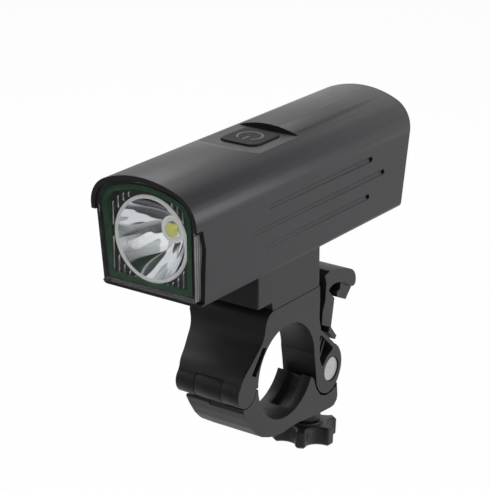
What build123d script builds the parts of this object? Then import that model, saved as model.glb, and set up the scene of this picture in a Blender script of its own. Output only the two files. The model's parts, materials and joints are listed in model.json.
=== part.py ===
from build123d import *

import math
import os

# Bike headlight on a hinged quick-release handlebar clamp.
# Millimetres, +Z up. The beam leaves towards -Y and +X is the lamp's left side.
# The origin is the centre of the clamp bore, and X is the axis of the handlebar.

# Handlebar clamp, side view: places are shares of the bore radius, measured from the bore centre
BAR_DIAMETER = 31.8
BORE_RADIUS = BAR_DIAMETER / 2
HINGE_PLACE_SHARES = (-1.38, 0.0)
PIN_PLACE_SHARES = (1.65, -0.554)
NECK_TOP_SHARE = 1.453
NECK_FRONT_SHARE = -0.5
NECK_REAR_SHARE = 1.17

# Handlebar clamp, widths along X
NECK_HALF = 14.5
NECK_FAR_REACH = 15.1
RING_WIDTH = 13.2
KNUCKLE_WIDTH = 10.0
HINGE_FAR_REACH = 9.8
JAW_FAR_REACH = 7.6
BOLT_INSET = 9.4
EAR_STEP = 2.4
EAR_STEP_FRONT = 22.0
KNUCKLE_GAP = 0.25
BARREL_RADIUS = 4.7
KNUCKLE_SEAT_GAP = 0.35
HINGE_PIN_RADIUS = 1.5
PIN_RUN_GAP = 0.05
PIN_END_INSET = 0.4
HINGE_COVER_WALL = 1.2
FAR_BAR_GAP = 0.7
WEB_WALL = 4.2
DECK_WALL = 4.6

GUSSET_REACH = 5.0
GUSSET_WALL = 4.0
EAR_SLOT_REACH = 4.7
EAR_POCKET_DEPTH = 3.6
EAR_POCKET_CORNER_SHARE = 0.05
EAR_RIB_WALL = 0.6
EAR_RIB_INSET = 0.7
RING_SLOT_DEPTH = 3.2
RING_SLOT_CORNER = 0.3
JAW_SPLIT_GAP = 0.7
JAW_TAIL_ANGLE = 7.4
JAW_EDGE = 1.0
JAW_GROOVE_DEPTH = 2.0
JAW_GROOVE_HALF = 2.8
JAW_GROOVE_START = 4.3
UPPER_FRONT_SHARES = (
    (-0.742, 1.208), (-0.780, 1.050), (-0.881, 0.874), (-1.050, 0.723), (-1.283, 0.528),
    (-1.453, 0.403), (-1.585, 0.214),
)
UPPER_BORE_SHARES = ((1.0, 0.0), (1.040, -0.244), (1.085, -0.590))
EAR_FRONT_ARC_SHARES = ((1.085, -0.590), (1.208, -0.888), (1.490, -1.030))
EAR_LOW_ARC_SHARES = ((1.490, -1.030), (1.780, -0.962), (1.943, -0.775))
EAR_BACK_ARC_SHARES = ((1.943, -0.775), (2.026, -0.460), (1.748, -0.006))
UPPER_REAR_SHARES = ((1.748, -0.006), (1.457, 0.268), (1.228, 0.469), (1.164, 0.755), (1.180, 1.132))
EAR_POCKET_SHARES = (
    (1.185, 0.350), (1.260, 0.340), (1.720, -0.100), (1.480, -0.209), (1.300, -0.400), (1.200, -0.180),
)
EAR_RIB_SHARES = (((1.230, -0.220), (1.440, 0.170)), ((1.190, -0.040), (1.330, 0.270)))
RING_SLOT_SHARES = ((-0.715, 0.764), (-0.850, 0.795), (-1.225, 0.333), (-1.085, 0.258))
JAW_OUTER_SHARES = (
    (-1.522, -0.340), (-1.400, -0.560), (-1.240, -0.800), (-1.040, -1.010), (-0.869, -1.125),
    (-0.623, -1.225), (-0.411, -1.284), (-0.090, -1.316), (0.197, -1.296), (0.490, -1.307),
    (0.674, -1.345),
)
JAW_TOP_SHARES = (
    (1.874, -1.333), (1.900, -1.242), (1.871, -0.940), (1.824, -1.025), (1.654, -1.075),
    (1.440, -1.079), (1.239, -0.987), (1.082, -0.786), (0.991, -0.540), (0.897, -0.460),
    (0.767, -0.447),
)

# Swing bolt, its barrel pin, collar and star knob; distances are measured along the bolt from the pin
BOLT_LEAN = 4.0
BOLT_RADIUS = 2.0
BOLT_SLOT_HALF = 2.45
BOLT_SLOT_GAP = 0.6
BARREL_PIN_RADIUS = 4.2
BARREL_PIN_INSET = 0.5
SEAT_DISTANCE = 13.9
COLLAR_GAP = 0.3
COLLAR_RADIUS = 5.2
COLLAR_THICKNESS = 5.5
COLLAR_EDGE = 0.4
COLLAR_BORE_GAP = 0.25
HUB_GAP = 0.1
HUB_RADIUS = 6.0
HUB_HEIGHT = 0.6
KNOB_RADIUS = 11.2
KNOB_HEIGHT = 6.3
KNOB_LOBES = 6
KNOB_SCALLOP_RADIUS = 4.2
KNOB_SCALLOP_DEPTH = 3.4
KNOB_LOBE_ROUND = 0.9
KNOB_EDGE = 0.7
KNOB_TURN = -3.0
INSERT_RADIUS = 3.2
INSERT_THREAD_GAP = 0.1
BOLT_END_INSET = 0.6

# Lamp rail on the clamp and the foot that slides on it
RAIL_NECK_HALF = 7.0
RAIL_HEAD_HALF = 10.6
RAIL_NECK_HEIGHT = 6.0
RAIL_HEAD_HEIGHT = 4.6
RAIL_FRONT_INSET = 0.4
RAIL_REAR_INSET = 0.6
SLIDE_GAP = 0.25
FOOT_HEIGHT = 15.5
FOOT_NOSE_REACH = 8.2
FOOT_NOSE_RISE = 2.9
FOOT_EDGE = 0.8
FOOT_SCREW_RADIUS = 1.25
FOOT_SCREW_HEAD_RADIUS = 2.3
FOOT_SCREW_HEAD_HEIGHT = 1.5
FOOT_SCREW_BITE = 2.2
FOOT_SCREW_SPREAD = 20.0
SCREW_HOLE_GAP = 0.05

# Battery cell and its carrier, which set the size of the lamp housing
CELL_RADIUS = 10.6
CELL_LENGTH = 70.0
CARRIER_SKIN = 1.1
CARRIER_SIDE_WALL = 4.0
CARRIER_SIDE_GAP = 1.0
BOARD_ROOM = 4.8
CARRIER_HALF = CELL_RADIUS + CARRIER_SIDE_WALL
CARRIER_HEIGHT = 2 * (CELL_RADIUS + CARRIER_SKIN)

# Lamp housing, cross-section
HOOD_WALL = 1.5
BODY_WALL = 3.0
TOP_WALL = 7.0
BODY_FLARE = 1.1
BODY_LOW_HALF = CARRIER_HALF + CARRIER_SIDE_GAP + BODY_WALL
BODY_WIDE_HALF = BODY_LOW_HALF + BODY_FLARE
BODY_HEIGHT = BODY_WALL + CARRIER_HEIGHT + BOARD_ROOM + TOP_WALL
ARCH_RADIUS = 33.8
SHOULDER_RADIUS = 10.2
LOW_CORNER_RADIUS = 1.6
CORNER_RADIUS_MIN = 0.4

# Lamp housing, places along Y; the front and rear faces lean
HOOD_FRONT = 55.0
HOOD_LEAN_SHARE = 0.1
HOOD_DROP_SHARE = 0.356
HOOD_END_DEPTH = 2.9
WINDOW_DEPTH = 4.6
WINDOW_SLOPE_DROP = 6.2
WINDOW_CORNER = 2.0
LIP_FRONT = 50.2
LIP_HEIGHT = 1.2
LEDGE_FRONT = 48.2
CELL_END_ROOM = 5.4
REAR_LEAN_SHARE = 0.125
OVERRUN = 3.0

# Side grooves: height as a share of the body's height, front end, rear end
GROOVE_HEIGHT_SHARES = (0.581, 0.414, 0.251)
GROOVE_FRONTS = (-17.0, -26.0, -18.5)
GROOVE_REARS = (40.5, 48.4, 39.7)
GROOVE_AXIS_OUT = 0.7
GROOVE_REAR_RADIUS = 1.2
GROOVE_FRONT_RADIUS = 0.95
GROOVE_END_RADIUS = 0.6
GROOVE_END_DEPTH = 1.5

# Switch pocket and push button
POCKET_DROP = 2.0
POCKET_FRONT = 11.4
POCKET_RAMP = 7.0
POCKET_REAR = 10.0
BUTTON_WIDTH = 14.2
BUTTON_LENGTH = 15.0
BUTTON_CORNER = 3.2
BUTTON_GAP = 0.35
BUTTON_PROUD = 0.6
BUTTON_HEIGHT = 2.3
BUTTON_TRAVEL = 0.8
BUTTON_BOTTOM_GAP = 0.2
BUTTON_EDGE = 0.5
STEM_RADIUS = 2.5
STEM_GAP = 0.1
STEM_LENGTH = 3.5
SEAL_RADIUS = 4.6
SEAL_HEIGHT = 0.9
PLUNGER_RADIUS = 1.7
PLUNGER_HEIGHT = 1.4
SWITCH_SIDE = 6.0
SWITCH_POCKET_GAP = 0.15

# Lens, its seal, the ribbed panel and the optics
LENS_INSET = 0.9
LENS_LEAN_SHARE = 0.07
LENS_WALL = 1.4
LENS_FIT = 0.15
SEAL_LIP_WIDTH = 1.6
PANEL_WALL = 1.2
PANEL_GAP = 0.1
REFLECTOR_ROOM = 1.1
REFLECTOR_WALL = 0.6
REFLECTOR_DEPTH = 11.7
REFLECTOR_THROAT = 4.3
REFLECTOR_NECK = 0.8
REFLECTOR_RIM_PROUD = 0.6
REFLECTOR_STEPS = 8
OPTIC_HEIGHT_SHARE = 0.466
LED_RADIUS = 4.0
LED_HEIGHT = 0.8
LED_DOME_RADIUS = 1.9
LED_BOARD_RADIUS = 10.5
LED_BOARD_WALL = 1.6
LED_SCREW_PLACE = 8.0
LED_SCREW_RADIUS = 0.8
LED_SCREW_HEAD_RADIUS = 1.5
LED_SCREW_HEAD_HEIGHT = 0.9
LED_SCREW_LENGTH = 3.2
PART_GAP = 0.1

# Heat sink, battery and electronics
SINK_WALL = 3.6
SINK_LENGTH = 11.0
SINK_FIN_WALL = 1.3
SINK_FIN_COUNT = 7
CELL_GAP = 0.15
CELL_SHOULDER = 1.0
CONTACT_RADIUS = 5.0
CONTACT_WALL = 0.4
CARRIER_END_WALL = 1.4
CARRIER_WINDOW_HALF_HEIGHT = 5.0
CARRIER_WINDOW_LENGTH = 24.0
CARRIER_WINDOW_SPREAD = 32.0
BOARD_WALL = 1.2
BOARD_HALF = 13.0
BOARD_FRONT = 24.0
BOARD_REAR = 20.0
BOARD_CHIP_PLACES_SHARE = (-0.75, -0.45, 0.6, 0.8)
BOARD_CHIP_SIDE = 4.4
BOARD_CHIP_HEIGHT = 1.1

# Rear cap, its seal and screws
REAR_EDGE_WALL = 1.6
CAP_INSET = 0.6
CAP_FIT = 0.15
CAP_WALL = 3.0
CAP_SEAL_WALL = 0.6
CAP_LIP_DEPTH = 3.6
CAP_LIP_WALL = 1.6
CAP_SCREW_RADIUS = 0.8
CAP_SCREW_HEAD_RADIUS = 1.6
CAP_SCREW_HEAD_HEIGHT = 1.2
CAP_SCREW_LENGTH = 7.0
CAP_SCREW_SINK = 0.3
CAP_SCREW_HALF = 9.0
CAP_SCREW_DROP = 5.0

# Charging socket in the rear cap and its hinged rubber cover
PORT_HEIGHT = 13.6
PORT_WIDTH = 8.9
PORT_THICKNESS = 3.2
PORT_SHELL_WALL = 0.35
PORT_DEPTH = 7.2
PORT_TONGUE_WIDTH = 6.0
PORT_TONGUE_WALL = 0.7
PORT_TONGUE_INSET = 1.4
PORT_FIT = 0.1
PORT_INSET = 1.2
SHELF_LENGTH = 5.0
SHELF_WALL = 1.4
SHELF_HALF = 7.5
CHARGE_BOARD_HALF = 6.6
CHARGE_BOARD_WALL = 1.0
COVER_WIDTH = 14.0
COVER_LENGTH = 9.2
COVER_CORNER = 2.6
COVER_WALL = 1.5
COVER_GAP = 0.3
COVER_HINGE_RADIUS = 0.75
COVER_DROP = 5.0
COVER_BARREL_HALF = 5.0
COVER_LUG_GAP = 0.3
COVER_LUG_WALL = 1.8
COVER_LUG_RADIUS = 1.3
COVER_PLUG_INSET = 0.4
COVER_PLUG_DEPTH = 0.6
COVER_TAB = 1.6

# Release lever behind the rail
LEVER_SIDE_INSET = 0.5
LEVER_LUG_HALF = 3.0
LEVER_LUG_GAP = 0.3
LEVER_PIVOT_BACK = 5.0
LEVER_PIVOT_DROP = 13.7
LEVER_LUG_RADIUS = 2.4
LEVER_PIN_RADIUS = 1.0
LEVER_PIN_INSET = 2.0
LEVER_HEIGHT = 16.7
LEVER_WEB_INSET = 0.8
LEVER_POCKET_DEPTH = 3.0
LEVER_TOP_SHARES = (
    (0.090, 1.000), (0.377, 0.952), (0.640, 0.890), (0.850, 0.812), (0.985, 0.710), (1.036, 0.600),
    (1.024, 0.449),
)
LEVER_TIP_SHARES = ((1.024, 0.449), (0.946, 0.413), (0.832, 0.461))
LEVER_INNER_SHARES = (
    (0.832, 0.461), (0.641, 0.575), (0.461, 0.653), (0.246, 0.683), (0.108, 0.641), (0.060, 0.593),
)
LEVER_STEM_SHARES = (
    (0.060, 0.593), (0.269, 0.379), (0.160, -0.199), (0.366, -0.451), (0.311, -0.512), (0.030, -0.251),
    (-0.138, -0.090), (-0.165, -0.045), (-0.147, 0.222), (-0.054, 0.443), (-0.028, 0.790),
    (-0.084, 0.958), (0.090, 1.000),
)
LEVER_WEB_SHARES = (
    (0.575, 0.671), (0.976, 0.515), (0.976, 0.420), (0.749, 0.186), (0.437, 0.335), (0.431, 0.443),
    (0.539, 0.467),
)
LEVER_POCKET_SHARES = ((-0.240, -0.009), (0.110, -0.175), (0.045, -0.400), (-0.300, -0.080))


def side_prism(face, low_x, high_x):
    """A face drawn as (Y, Z), stretched between two X places."""
    return Pos(low_x, 0, 0) * extrude(Plane.YZ * face, amount=high_x - low_x)


def front_prism(face, low_y, high_y):
    """A face drawn as (X, Z), stretched between two Y places."""
    return extrude(Plane.XZ.offset(-high_y) * face, amount=high_y - low_y)


def polygon(points):
    """A closed face with straight sides."""
    return make_face(Polyline(*points, close=True))


def scaled(shares, length):
    """Outline points from shares of one length."""
    return [(y * length, z * length) for y, z in shares]


def x_rod(radius, place, low_x, high_x):
    """A rod along X with its centre at (Y, Z)."""
    return side_prism(Pos(*place) * Circle(radius), low_x, high_x)


def y_rod(radius, place, low_y, high_y):
    """A rod along Y with its centre at (X, Z)."""
    return front_prism(Pos(*place) * Circle(radius), low_y, high_y)


# Places that several pieces share
HINGE = tuple(share * BORE_RADIUS for share in HINGE_PLACE_SHARES)
PIN = tuple(share * BORE_RADIUS for share in PIN_PLACE_SHARES)
NECK_TOP = NECK_TOP_SHARE * BORE_RADIUS
NECK_FRONT = NECK_FRONT_SHARE * BORE_RADIUS
NECK_REAR = NECK_REAR_SHARE * BORE_RADIUS
RING_FAR = NECK_HALF - RING_WIDTH
RING_MIDDLE = NECK_HALF - RING_WIDTH / 2
EAR_FAR = RING_FAR - EAR_STEP
BOLT_MIDDLE = NECK_HALF - BOLT_INSET
LEVER_HALF = NECK_HALF - LEVER_SIDE_INSET
KNUCKLE_NEAR = (NECK_HALF - HINGE_FAR_REACH + KNUCKLE_WIDTH) / 2
KNUCKLE_FAR = KNUCKLE_NEAR - KNUCKLE_WIDTH

BODY_BOTTOM = NECK_TOP + SLIDE_GAP + FOOT_HEIGHT
BODY_TOP = BODY_BOTTOM + BODY_HEIGHT
CAVITY_TOP = BODY_TOP - TOP_WALL
CAVITY_FLOOR = BODY_BOTTOM + BODY_WALL
HOOD_END = BODY_TOP - HOOD_DROP_SHARE * BODY_HEIGHT
OPTIC_HEIGHT = OPTIC_HEIGHT_SHARE * BODY_HEIGHT
OPTIC_PLACE = (0, BODY_BOTTOM + OPTIC_HEIGHT)
REFLECTOR_RADIUS = OPTIC_HEIGHT - (HOOD_WALL + 2 * LENS_FIT + LENS_WALL) - REFLECTOR_ROOM
SINK_FRONT = -LEDGE_FRONT + REFLECTOR_DEPTH
CARRIER_FRONT = SINK_FRONT + SINK_LENGTH + PART_GAP
CARRIER_TOP = CAVITY_FLOOR + CARRIER_HEIGHT
CELL_PLACE = (0, CAVITY_FLOOR + CARRIER_HEIGHT / 2)
BOARD_TOP = CARRIER_TOP + BOARD_WALL
PORT_Z = BODY_BOTTOM + PORT_HEIGHT
POCKET_FLOOR = BODY_TOP - POCKET_DROP
BUTTON_TOP = POCKET_FLOOR + BUTTON_PROUD
BUTTON_FLOOR = BUTTON_TOP - BUTTON_HEIGHT
RECESS_FLOOR = BUTTON_FLOOR - BUTTON_TRAVEL - BUTTON_BOTTOM_GAP
STEM_END = BUTTON_FLOOR - STEM_LENGTH
LEVER_PIVOT = (NECK_REAR + LEVER_PIVOT_BACK, NECK_TOP - LEVER_PIVOT_DROP)
CELL_FRONT = CARRIER_FRONT + CARRIER_END_WALL + CONTACT_WALL
CARRIER_REAR = CELL_FRONT + CELL_LENGTH + CONTACT_WALL + CARRIER_END_WALL
PORT_REAR = CARRIER_REAR + CELL_END_ROOM + PORT_DEPTH
BODY_REAR = PORT_REAR + PORT_INSET + CAP_INSET + (BODY_TOP - PORT_Z) * REAR_LEAN_SHARE


def hood_front(z):
    """Y of the leaning front plane of the hood."""
    return -HOOD_FRONT + (BODY_TOP - z) * HOOD_LEAN_SHARE


def lens_front(z, depth=0):
    """Y of the lens's leaning front plane, or of a plane behind it."""
    return -HOOD_FRONT + LENS_INSET + (BODY_TOP - z) * LENS_LEAN_SHARE + depth


def rear_face(z, depth=0):
    """Y of the leaning rear face, or of a plane in front of it."""
    return BODY_REAR - (BODY_TOP - z) * REAR_LEAN_SHARE - depth


def body_section(inset=0, ceiling=None):
    """The lamp's cross-section as (X, Z), moved inwards, and cut flat under a ceiling."""
    low, wide = BODY_LOW_HALF - inset, BODY_WIDE_HALF - inset
    floor, top = BODY_BOTTOM + inset, BODY_TOP - inset
    arch = ARCH_RADIUS - inset
    spring = top - arch + math.sqrt(arch * arch - wide * wide)
    edges = [
        Line((-low, floor), (low, floor)),
        Line((low, floor), (wide, spring)),
        ThreePointArc((wide, spring), (0, top), (-wide, spring)),
        Line((-wide, spring), (-low, floor)),
    ]
    face = make_face(edges)
    shoulders = face.vertices().group_by(Axis.Y)[-1]
    face = fillet(shoulders, max(SHOULDER_RADIUS - inset, CORNER_RADIUS_MIN))
    corners = face.vertices().group_by(Axis.Y)[0]
    face = fillet(corners, max(LOW_CORNER_RADIUS - inset, CORNER_RADIUS_MIN))
    if ceiling is not None:
        room = Pos(0, (floor + ceiling) / 2) * Rectangle(2 * wide, ceiling - floor)
        face = face & room
    return face


def cavity_section(gap=0):
    """The straight inner room of the housing, or a section that fits it."""
    return body_section(BODY_WALL + gap, CAVITY_TOP - gap)


def leaning_slab(low_line, high_line, half, floor=None, ceiling=None):
    """A slab across X between two leaning lines, each a function of height that gives Y."""
    low_z = BODY_BOTTOM - OVERRUN if floor is None else floor
    high_z = BODY_TOP + OVERRUN if ceiling is None else ceiling
    corners = [(low_line(low_z), low_z), (high_line(low_z), low_z),
               (high_line(high_z), high_z), (low_line(high_z), high_z)]
    return side_prism(polygon(corners), -half, half)


def housing_side():
    """The housing's side view: leaning hood, side windows, low lip and leaning rear end."""
    end = hood_front(HOOD_END)
    window = end + WINDOW_DEPTH
    high, low = BODY_TOP + OVERRUN, BODY_BOTTOM - OVERRUN
    lip_top = BODY_BOTTOM + LIP_HEIGHT
    face = polygon([
        (-LIP_FRONT, low),
        (rear_face(low), low),
        (rear_face(high), high),
        (hood_front(high), high),
        (end, HOOD_END),
        (end + HOOD_END_DEPTH, HOOD_END),
        (window, HOOD_END - WINDOW_SLOPE_DROP),
        (window, lip_top),
        (-LIP_FRONT, lip_top),
    ])
    bend = face.vertices().sort_by_distance((window, HOOD_END - WINDOW_SLOPE_DROP))[0]
    return fillet(bend, WINDOW_CORNER)


def groove_cutters():
    """Three long round side grooves a side, deep at the rear and fading out to the front."""
    cutters = []
    for share, front, rear in zip(GROOVE_HEIGHT_SHARES, GROOVE_FRONTS, GROOVE_REARS):
        z = BODY_BOTTOM + share * BODY_HEIGHT
        side = BODY_LOW_HALF + (BODY_WIDE_HALF - BODY_LOW_HALF) * share
        taper = Plane.XZ.offset(-front) * Circle(GROOVE_FRONT_RADIUS)
        taper = loft([taper, Plane.XZ.offset(-rear) * Circle(GROOVE_REAR_RADIUS)])
        for sign in (-1, 1):
            cutters.append(Pos(sign * (side + GROOVE_AXIS_OUT), 0, z) * taper)
            inner = sign * (side - GROOVE_END_DEPTH)
            outer = sign * (side + OVERRUN)
            cutters.append(x_rod(GROOVE_END_RADIUS, (rear, z), min(inner, outer), max(inner, outer)))
    return cutters


def cap_screw_places():
    """(X, Z) of the two screws of the rear cap."""
    z = BODY_TOP - CAP_SCREW_DROP
    return [(-CAP_SCREW_HALF, z), (CAP_SCREW_HALF, z)]


def cap_screw_seat(z):
    """Y under the head of a cap screw."""
    return rear_face(z, CAP_INSET + CAP_SCREW_HEAD_HEIGHT + CAP_SCREW_SINK)


def foot_screw_places():
    """Y of the two screws that hold the foot to the housing floor."""
    middle = (NECK_FRONT + NECK_REAR) / 2
    return [middle - FOOT_SCREW_SPREAD / 2, middle + FOOT_SCREW_SPREAD / 2]


def z_rod(radius, x, y, low_z, high_z):
    """A rod along Z."""
    return Pos(x, y, low_z) * extrude(Circle(radius), amount=high_z - low_z)


def button_face(gap=0):
    """The push button's outline seen from above."""
    return RectangleRounded(BUTTON_WIDTH + 2 * gap, BUTTON_LENGTH + 2 * gap, BUTTON_CORNER + gap)


def make_housing():
    """One-piece shell with a hood, side windows, switch pocket and grooves."""
    far = BODY_REAR + OVERRUN
    near = -HOOD_FRONT - OVERRUN
    shell = front_prism(body_section(), near, far)
    shell &= side_prism(housing_side(), -BODY_WIDE_HALF - OVERRUN, BODY_WIDE_HALF + OVERRUN)
    shell -= front_prism(body_section(HOOD_WALL), near, -LEDGE_FRONT)
    shell -= front_prism(cavity_section(), -LEDGE_FRONT - OVERRUN, far)
    pocket_top = BODY_TOP + OVERRUN
    ramp = POCKET_RAMP * (pocket_top - POCKET_FLOOR) / POCKET_DROP
    pocket = polygon([(POCKET_REAR, POCKET_FLOOR), (POCKET_REAR, pocket_top),
                      (-POCKET_FRONT - ramp, pocket_top), (-POCKET_FRONT, POCKET_FLOOR)])
    shell -= side_prism(pocket, -BODY_WIDE_HALF, BODY_WIDE_HALF)
    shell -= Pos(0, 0, RECESS_FLOOR) * extrude(
        button_face(BUTTON_GAP), amount=pocket_top - RECESS_FLOOR)
    shell -= z_rod(STEM_RADIUS + STEM_GAP, 0, 0, CAVITY_TOP - OVERRUN, pocket_top)
    for x, z in cap_screw_places():
        end = cap_screw_seat(z) - CAP_SCREW_LENGTH
        shell -= y_rod(CAP_SCREW_RADIUS + SCREW_HOLE_GAP, (x, z), end, far)
    shell -= rear_slab(body_section(REAR_EDGE_WALL), -OVERRUN, CAP_INSET + CAP_WALL + CAP_SEAL_WALL)
    for y in foot_screw_places():
        top = BODY_BOTTOM + FOOT_SCREW_BITE
        shell -= z_rod(FOOT_SCREW_RADIUS + SCREW_HOLE_GAP, 0, y, BODY_BOTTOM - OVERRUN, top)
    for cutter in groove_cutters():
        shell -= cutter
    return shell


def lens_end():
    """Y of the rear rim of the lens, just before the ledge."""
    return -LEDGE_FRONT - PART_GAP


def make_lens():
    """Clear cover with a leaning front and side walls that show in the windows."""
    def front(z):
        return lens_front(z)

    def inside(z):
        return lens_front(z, LENS_WALL)

    def back(z):
        return lens_end()

    def past(z):
        return lens_end() + OVERRUN

    near, far = -HOOD_FRONT - OVERRUN, -LEDGE_FRONT + OVERRUN
    half = BODY_WIDE_HALF + OVERRUN
    outer = front_prism(body_section(HOOD_WALL + LENS_FIT), near, far)
    outer &= leaning_slab(front, back, half)
    inner = front_prism(body_section(HOOD_WALL + LENS_FIT + LENS_WALL), near, far)
    inner &= leaning_slab(inside, past, half)
    return outer - inner


def panel_section(extra=0):
    """The outline of what sits inside the lens walls."""
    return body_section(HOOD_WALL + 2 * LENS_FIT + LENS_WALL + extra)


def make_lens_seal():
    """Frame between the lens and the ribbed panel."""
    def front(z):
        return lens_front(z, LENS_WALL + PANEL_GAP)

    def back(z):
        return -LEDGE_FRONT - PANEL_WALL - PANEL_GAP

    ring = panel_section() - panel_section(SEAL_LIP_WIDTH)
    near, far = -HOOD_FRONT - OVERRUN, -LEDGE_FRONT + OVERRUN
    seal = front_prism(ring, near, far) & leaning_slab(front, back, BODY_WIDE_HALF)
    return seal - y_rod(REFLECTOR_RADIUS + PART_GAP, OPTIC_PLACE, near, far)


def make_panel():
    """Plate round the reflector's rim."""
    front = -LEDGE_FRONT - PANEL_WALL
    plate = front_prism(panel_section(), front, -LEDGE_FRONT)
    return plate - y_rod(REFLECTOR_RADIUS + PART_GAP, OPTIC_PLACE, front - OVERRUN, OVERRUN)


def reflector_front():
    """Y of the reflector's bright rim."""
    return -LEDGE_FRONT - PANEL_WALL - REFLECTOR_RIM_PROUD


def make_reflector():
    """Paraboloid cup, open at the lamp end, with a straight neck round the emitter."""
    front = reflector_front()
    seat = SINK_FRONT - LED_BOARD_WALL - PART_GAP
    throat = seat - REFLECTOR_NECK
    mouth = REFLECTOR_RADIUS - REFLECTOR_WALL
    slope = (mouth * mouth - REFLECTOR_THROAT * REFLECTOR_THROAT) / (throat - front)
    inner = []
    for step in range(REFLECTOR_STEPS + 1):
        y = front + (throat - front) * step / REFLECTOR_STEPS
        inner.append((math.sqrt(REFLECTOR_THROAT ** 2 + slope * (throat - y)), y))
    outer = [(r + REFLECTOR_WALL, y) for r, y in inner]
    edges = [
        Spline(inner),
        Line(inner[-1], (REFLECTOR_THROAT, seat)),
        Line((REFLECTOR_THROAT, seat), (REFLECTOR_THROAT + REFLECTOR_WALL, seat)),
        Line((REFLECTOR_THROAT + REFLECTOR_WALL, seat), outer[-1]),
        Spline(outer),
        Line(outer[0], inner[0]),
    ]
    cup = revolve(make_face(edges), Axis.Y)
    return Pos(0, 0, OPTIC_PLACE[1]) * cup


def led_screw_places():
    """(X, Z) of the two screws of the emitter board."""
    x, z = OPTIC_PLACE
    return [(x - LED_SCREW_PLACE, z), (x + LED_SCREW_PLACE, z)]


def make_led_board():
    """Round metal-core board on the heat sink."""
    board = y_rod(LED_BOARD_RADIUS, OPTIC_PLACE, SINK_FRONT - LED_BOARD_WALL, SINK_FRONT)
    for place in led_screw_places():
        board -= y_rod(LED_SCREW_RADIUS + SCREW_HOLE_GAP, place, SINK_FRONT - OVERRUN, SINK_FRONT)
    return board


def make_emitter():
    """Round package with a dome."""
    face = SINK_FRONT - LED_BOARD_WALL
    base = y_rod(LED_RADIUS, OPTIC_PLACE, face - LED_HEIGHT, face)
    room = y_rod(LED_DOME_RADIUS, OPTIC_PLACE, face - LED_HEIGHT - LED_DOME_RADIUS, face)
    dome = Pos(OPTIC_PLACE[0], face - LED_HEIGHT, OPTIC_PLACE[1]) * Sphere(LED_DOME_RADIUS)
    return base + (dome & room)


def make_led_screws():
    """Two pan-head screws through the emitter board."""
    face = SINK_FRONT - LED_BOARD_WALL
    screws = []
    for place in led_screw_places():
        head = y_rod(LED_SCREW_HEAD_RADIUS, place, face - LED_SCREW_HEAD_HEIGHT, face)
        shank = y_rod(LED_SCREW_RADIUS, place, face - LED_SCREW_HEAD_HEIGHT, face + LED_SCREW_LENGTH)
        screws.append(head + shank)
    return screws[0] + screws[1]


def make_heat_sink():
    """Plate that fills the housing's room behind the emitter, with upright fins."""
    back = SINK_FRONT + SINK_WALL
    sink = front_prism(cavity_section(PART_GAP), SINK_FRONT, back)
    half = BODY_LOW_HALF - BODY_WALL - SINK_FIN_WALL
    fins = front_prism(cavity_section(PART_GAP), back, SINK_FRONT + SINK_LENGTH)
    for index in range(SINK_FIN_COUNT - 1):
        pitch = 2 * half / (SINK_FIN_COUNT - 1)
        middle = -half + pitch * (index + 1 / 2)
        gap = Pos(middle, (CAVITY_FLOOR + CAVITY_TOP) / 2) * Rectangle(
            pitch - SINK_FIN_WALL, BODY_HEIGHT)
        fins -= front_prism(gap, back, SINK_FRONT + SINK_LENGTH + OVERRUN)
    sink += fins
    for place in led_screw_places():
        end = SINK_FRONT - LED_BOARD_WALL + LED_SCREW_LENGTH + SCREW_HOLE_GAP
        sink -= y_rod(LED_SCREW_RADIUS + SCREW_HOLE_GAP, place, SINK_FRONT - OVERRUN, end)
    return sink


def make_carrier():
    """Cradle round the cell, with end walls and side windows."""
    middle = CAVITY_FLOOR + CARRIER_HEIGHT / 2
    block = front_prism(Pos(0, middle) * Rectangle(2 * CARRIER_HALF, CARRIER_HEIGHT),
                        CARRIER_FRONT, CARRIER_REAR)
    block -= y_rod(CELL_RADIUS + CELL_GAP, CELL_PLACE,
                   CARRIER_FRONT + CARRIER_END_WALL, CARRIER_REAR - CARRIER_END_WALL)
    centre = (CARRIER_FRONT + CARRIER_REAR) / 2
    window = Pos(0, middle) * Rectangle(2 * CARRIER_HALF + OVERRUN, 2 * CARRIER_WINDOW_HALF_HEIGHT)
    for sign in (-1, 1):
        place = centre + sign * CARRIER_WINDOW_SPREAD / 2
        block -= front_prism(window, place - CARRIER_WINDOW_LENGTH / 2,
                             place + CARRIER_WINDOW_LENGTH / 2)
    return block


def make_cell():
    """Cylindrical cell with softened ends."""
    cell = y_rod(CELL_RADIUS, CELL_PLACE, CELL_FRONT, CELL_FRONT + CELL_LENGTH)
    return chamfer(cell.edges(), CELL_SHOULDER / 2)


def make_contact(low_y):
    """Round contact plate against one end of the cell."""
    return y_rod(CONTACT_RADIUS, CELL_PLACE, low_y, low_y + CONTACT_WALL)


def make_driver_board():
    """Circuit board on top of the carrier, with its larger parts."""
    middle = (BOARD_REAR - BOARD_FRONT) / 2
    length = BOARD_FRONT + BOARD_REAR
    board = Pos(0, middle, CARRIER_TOP) * extrude(
        Rectangle(2 * BOARD_HALF, length), amount=BOARD_WALL)
    for share in BOARD_CHIP_PLACES_SHARE:
        y = share * (BOARD_REAR if share > 0 else BOARD_FRONT)
        board += Pos(BOARD_HALF * share / 2, y, BOARD_TOP) * extrude(
            Rectangle(BOARD_CHIP_SIDE, BOARD_CHIP_SIDE), amount=BOARD_CHIP_HEIGHT)
    return board


def plunger_bottom():
    """Z of the lower end of the switch plunger at rest."""
    return STEM_END - PLUNGER_HEIGHT


def make_switch():
    """Square switch body with a pocket for its plunger."""
    pocket_floor = plunger_bottom() - BUTTON_TRAVEL - SWITCH_POCKET_GAP
    top = STEM_END - BUTTON_TRAVEL - SWITCH_POCKET_GAP
    body = Pos(0, 0, BOARD_TOP) * extrude(Rectangle(SWITCH_SIDE, SWITCH_SIDE), amount=top - BOARD_TOP)
    return body - z_rod(PLUNGER_RADIUS + SWITCH_POCKET_GAP, 0, 0, pocket_floor, top + OVERRUN)


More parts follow.
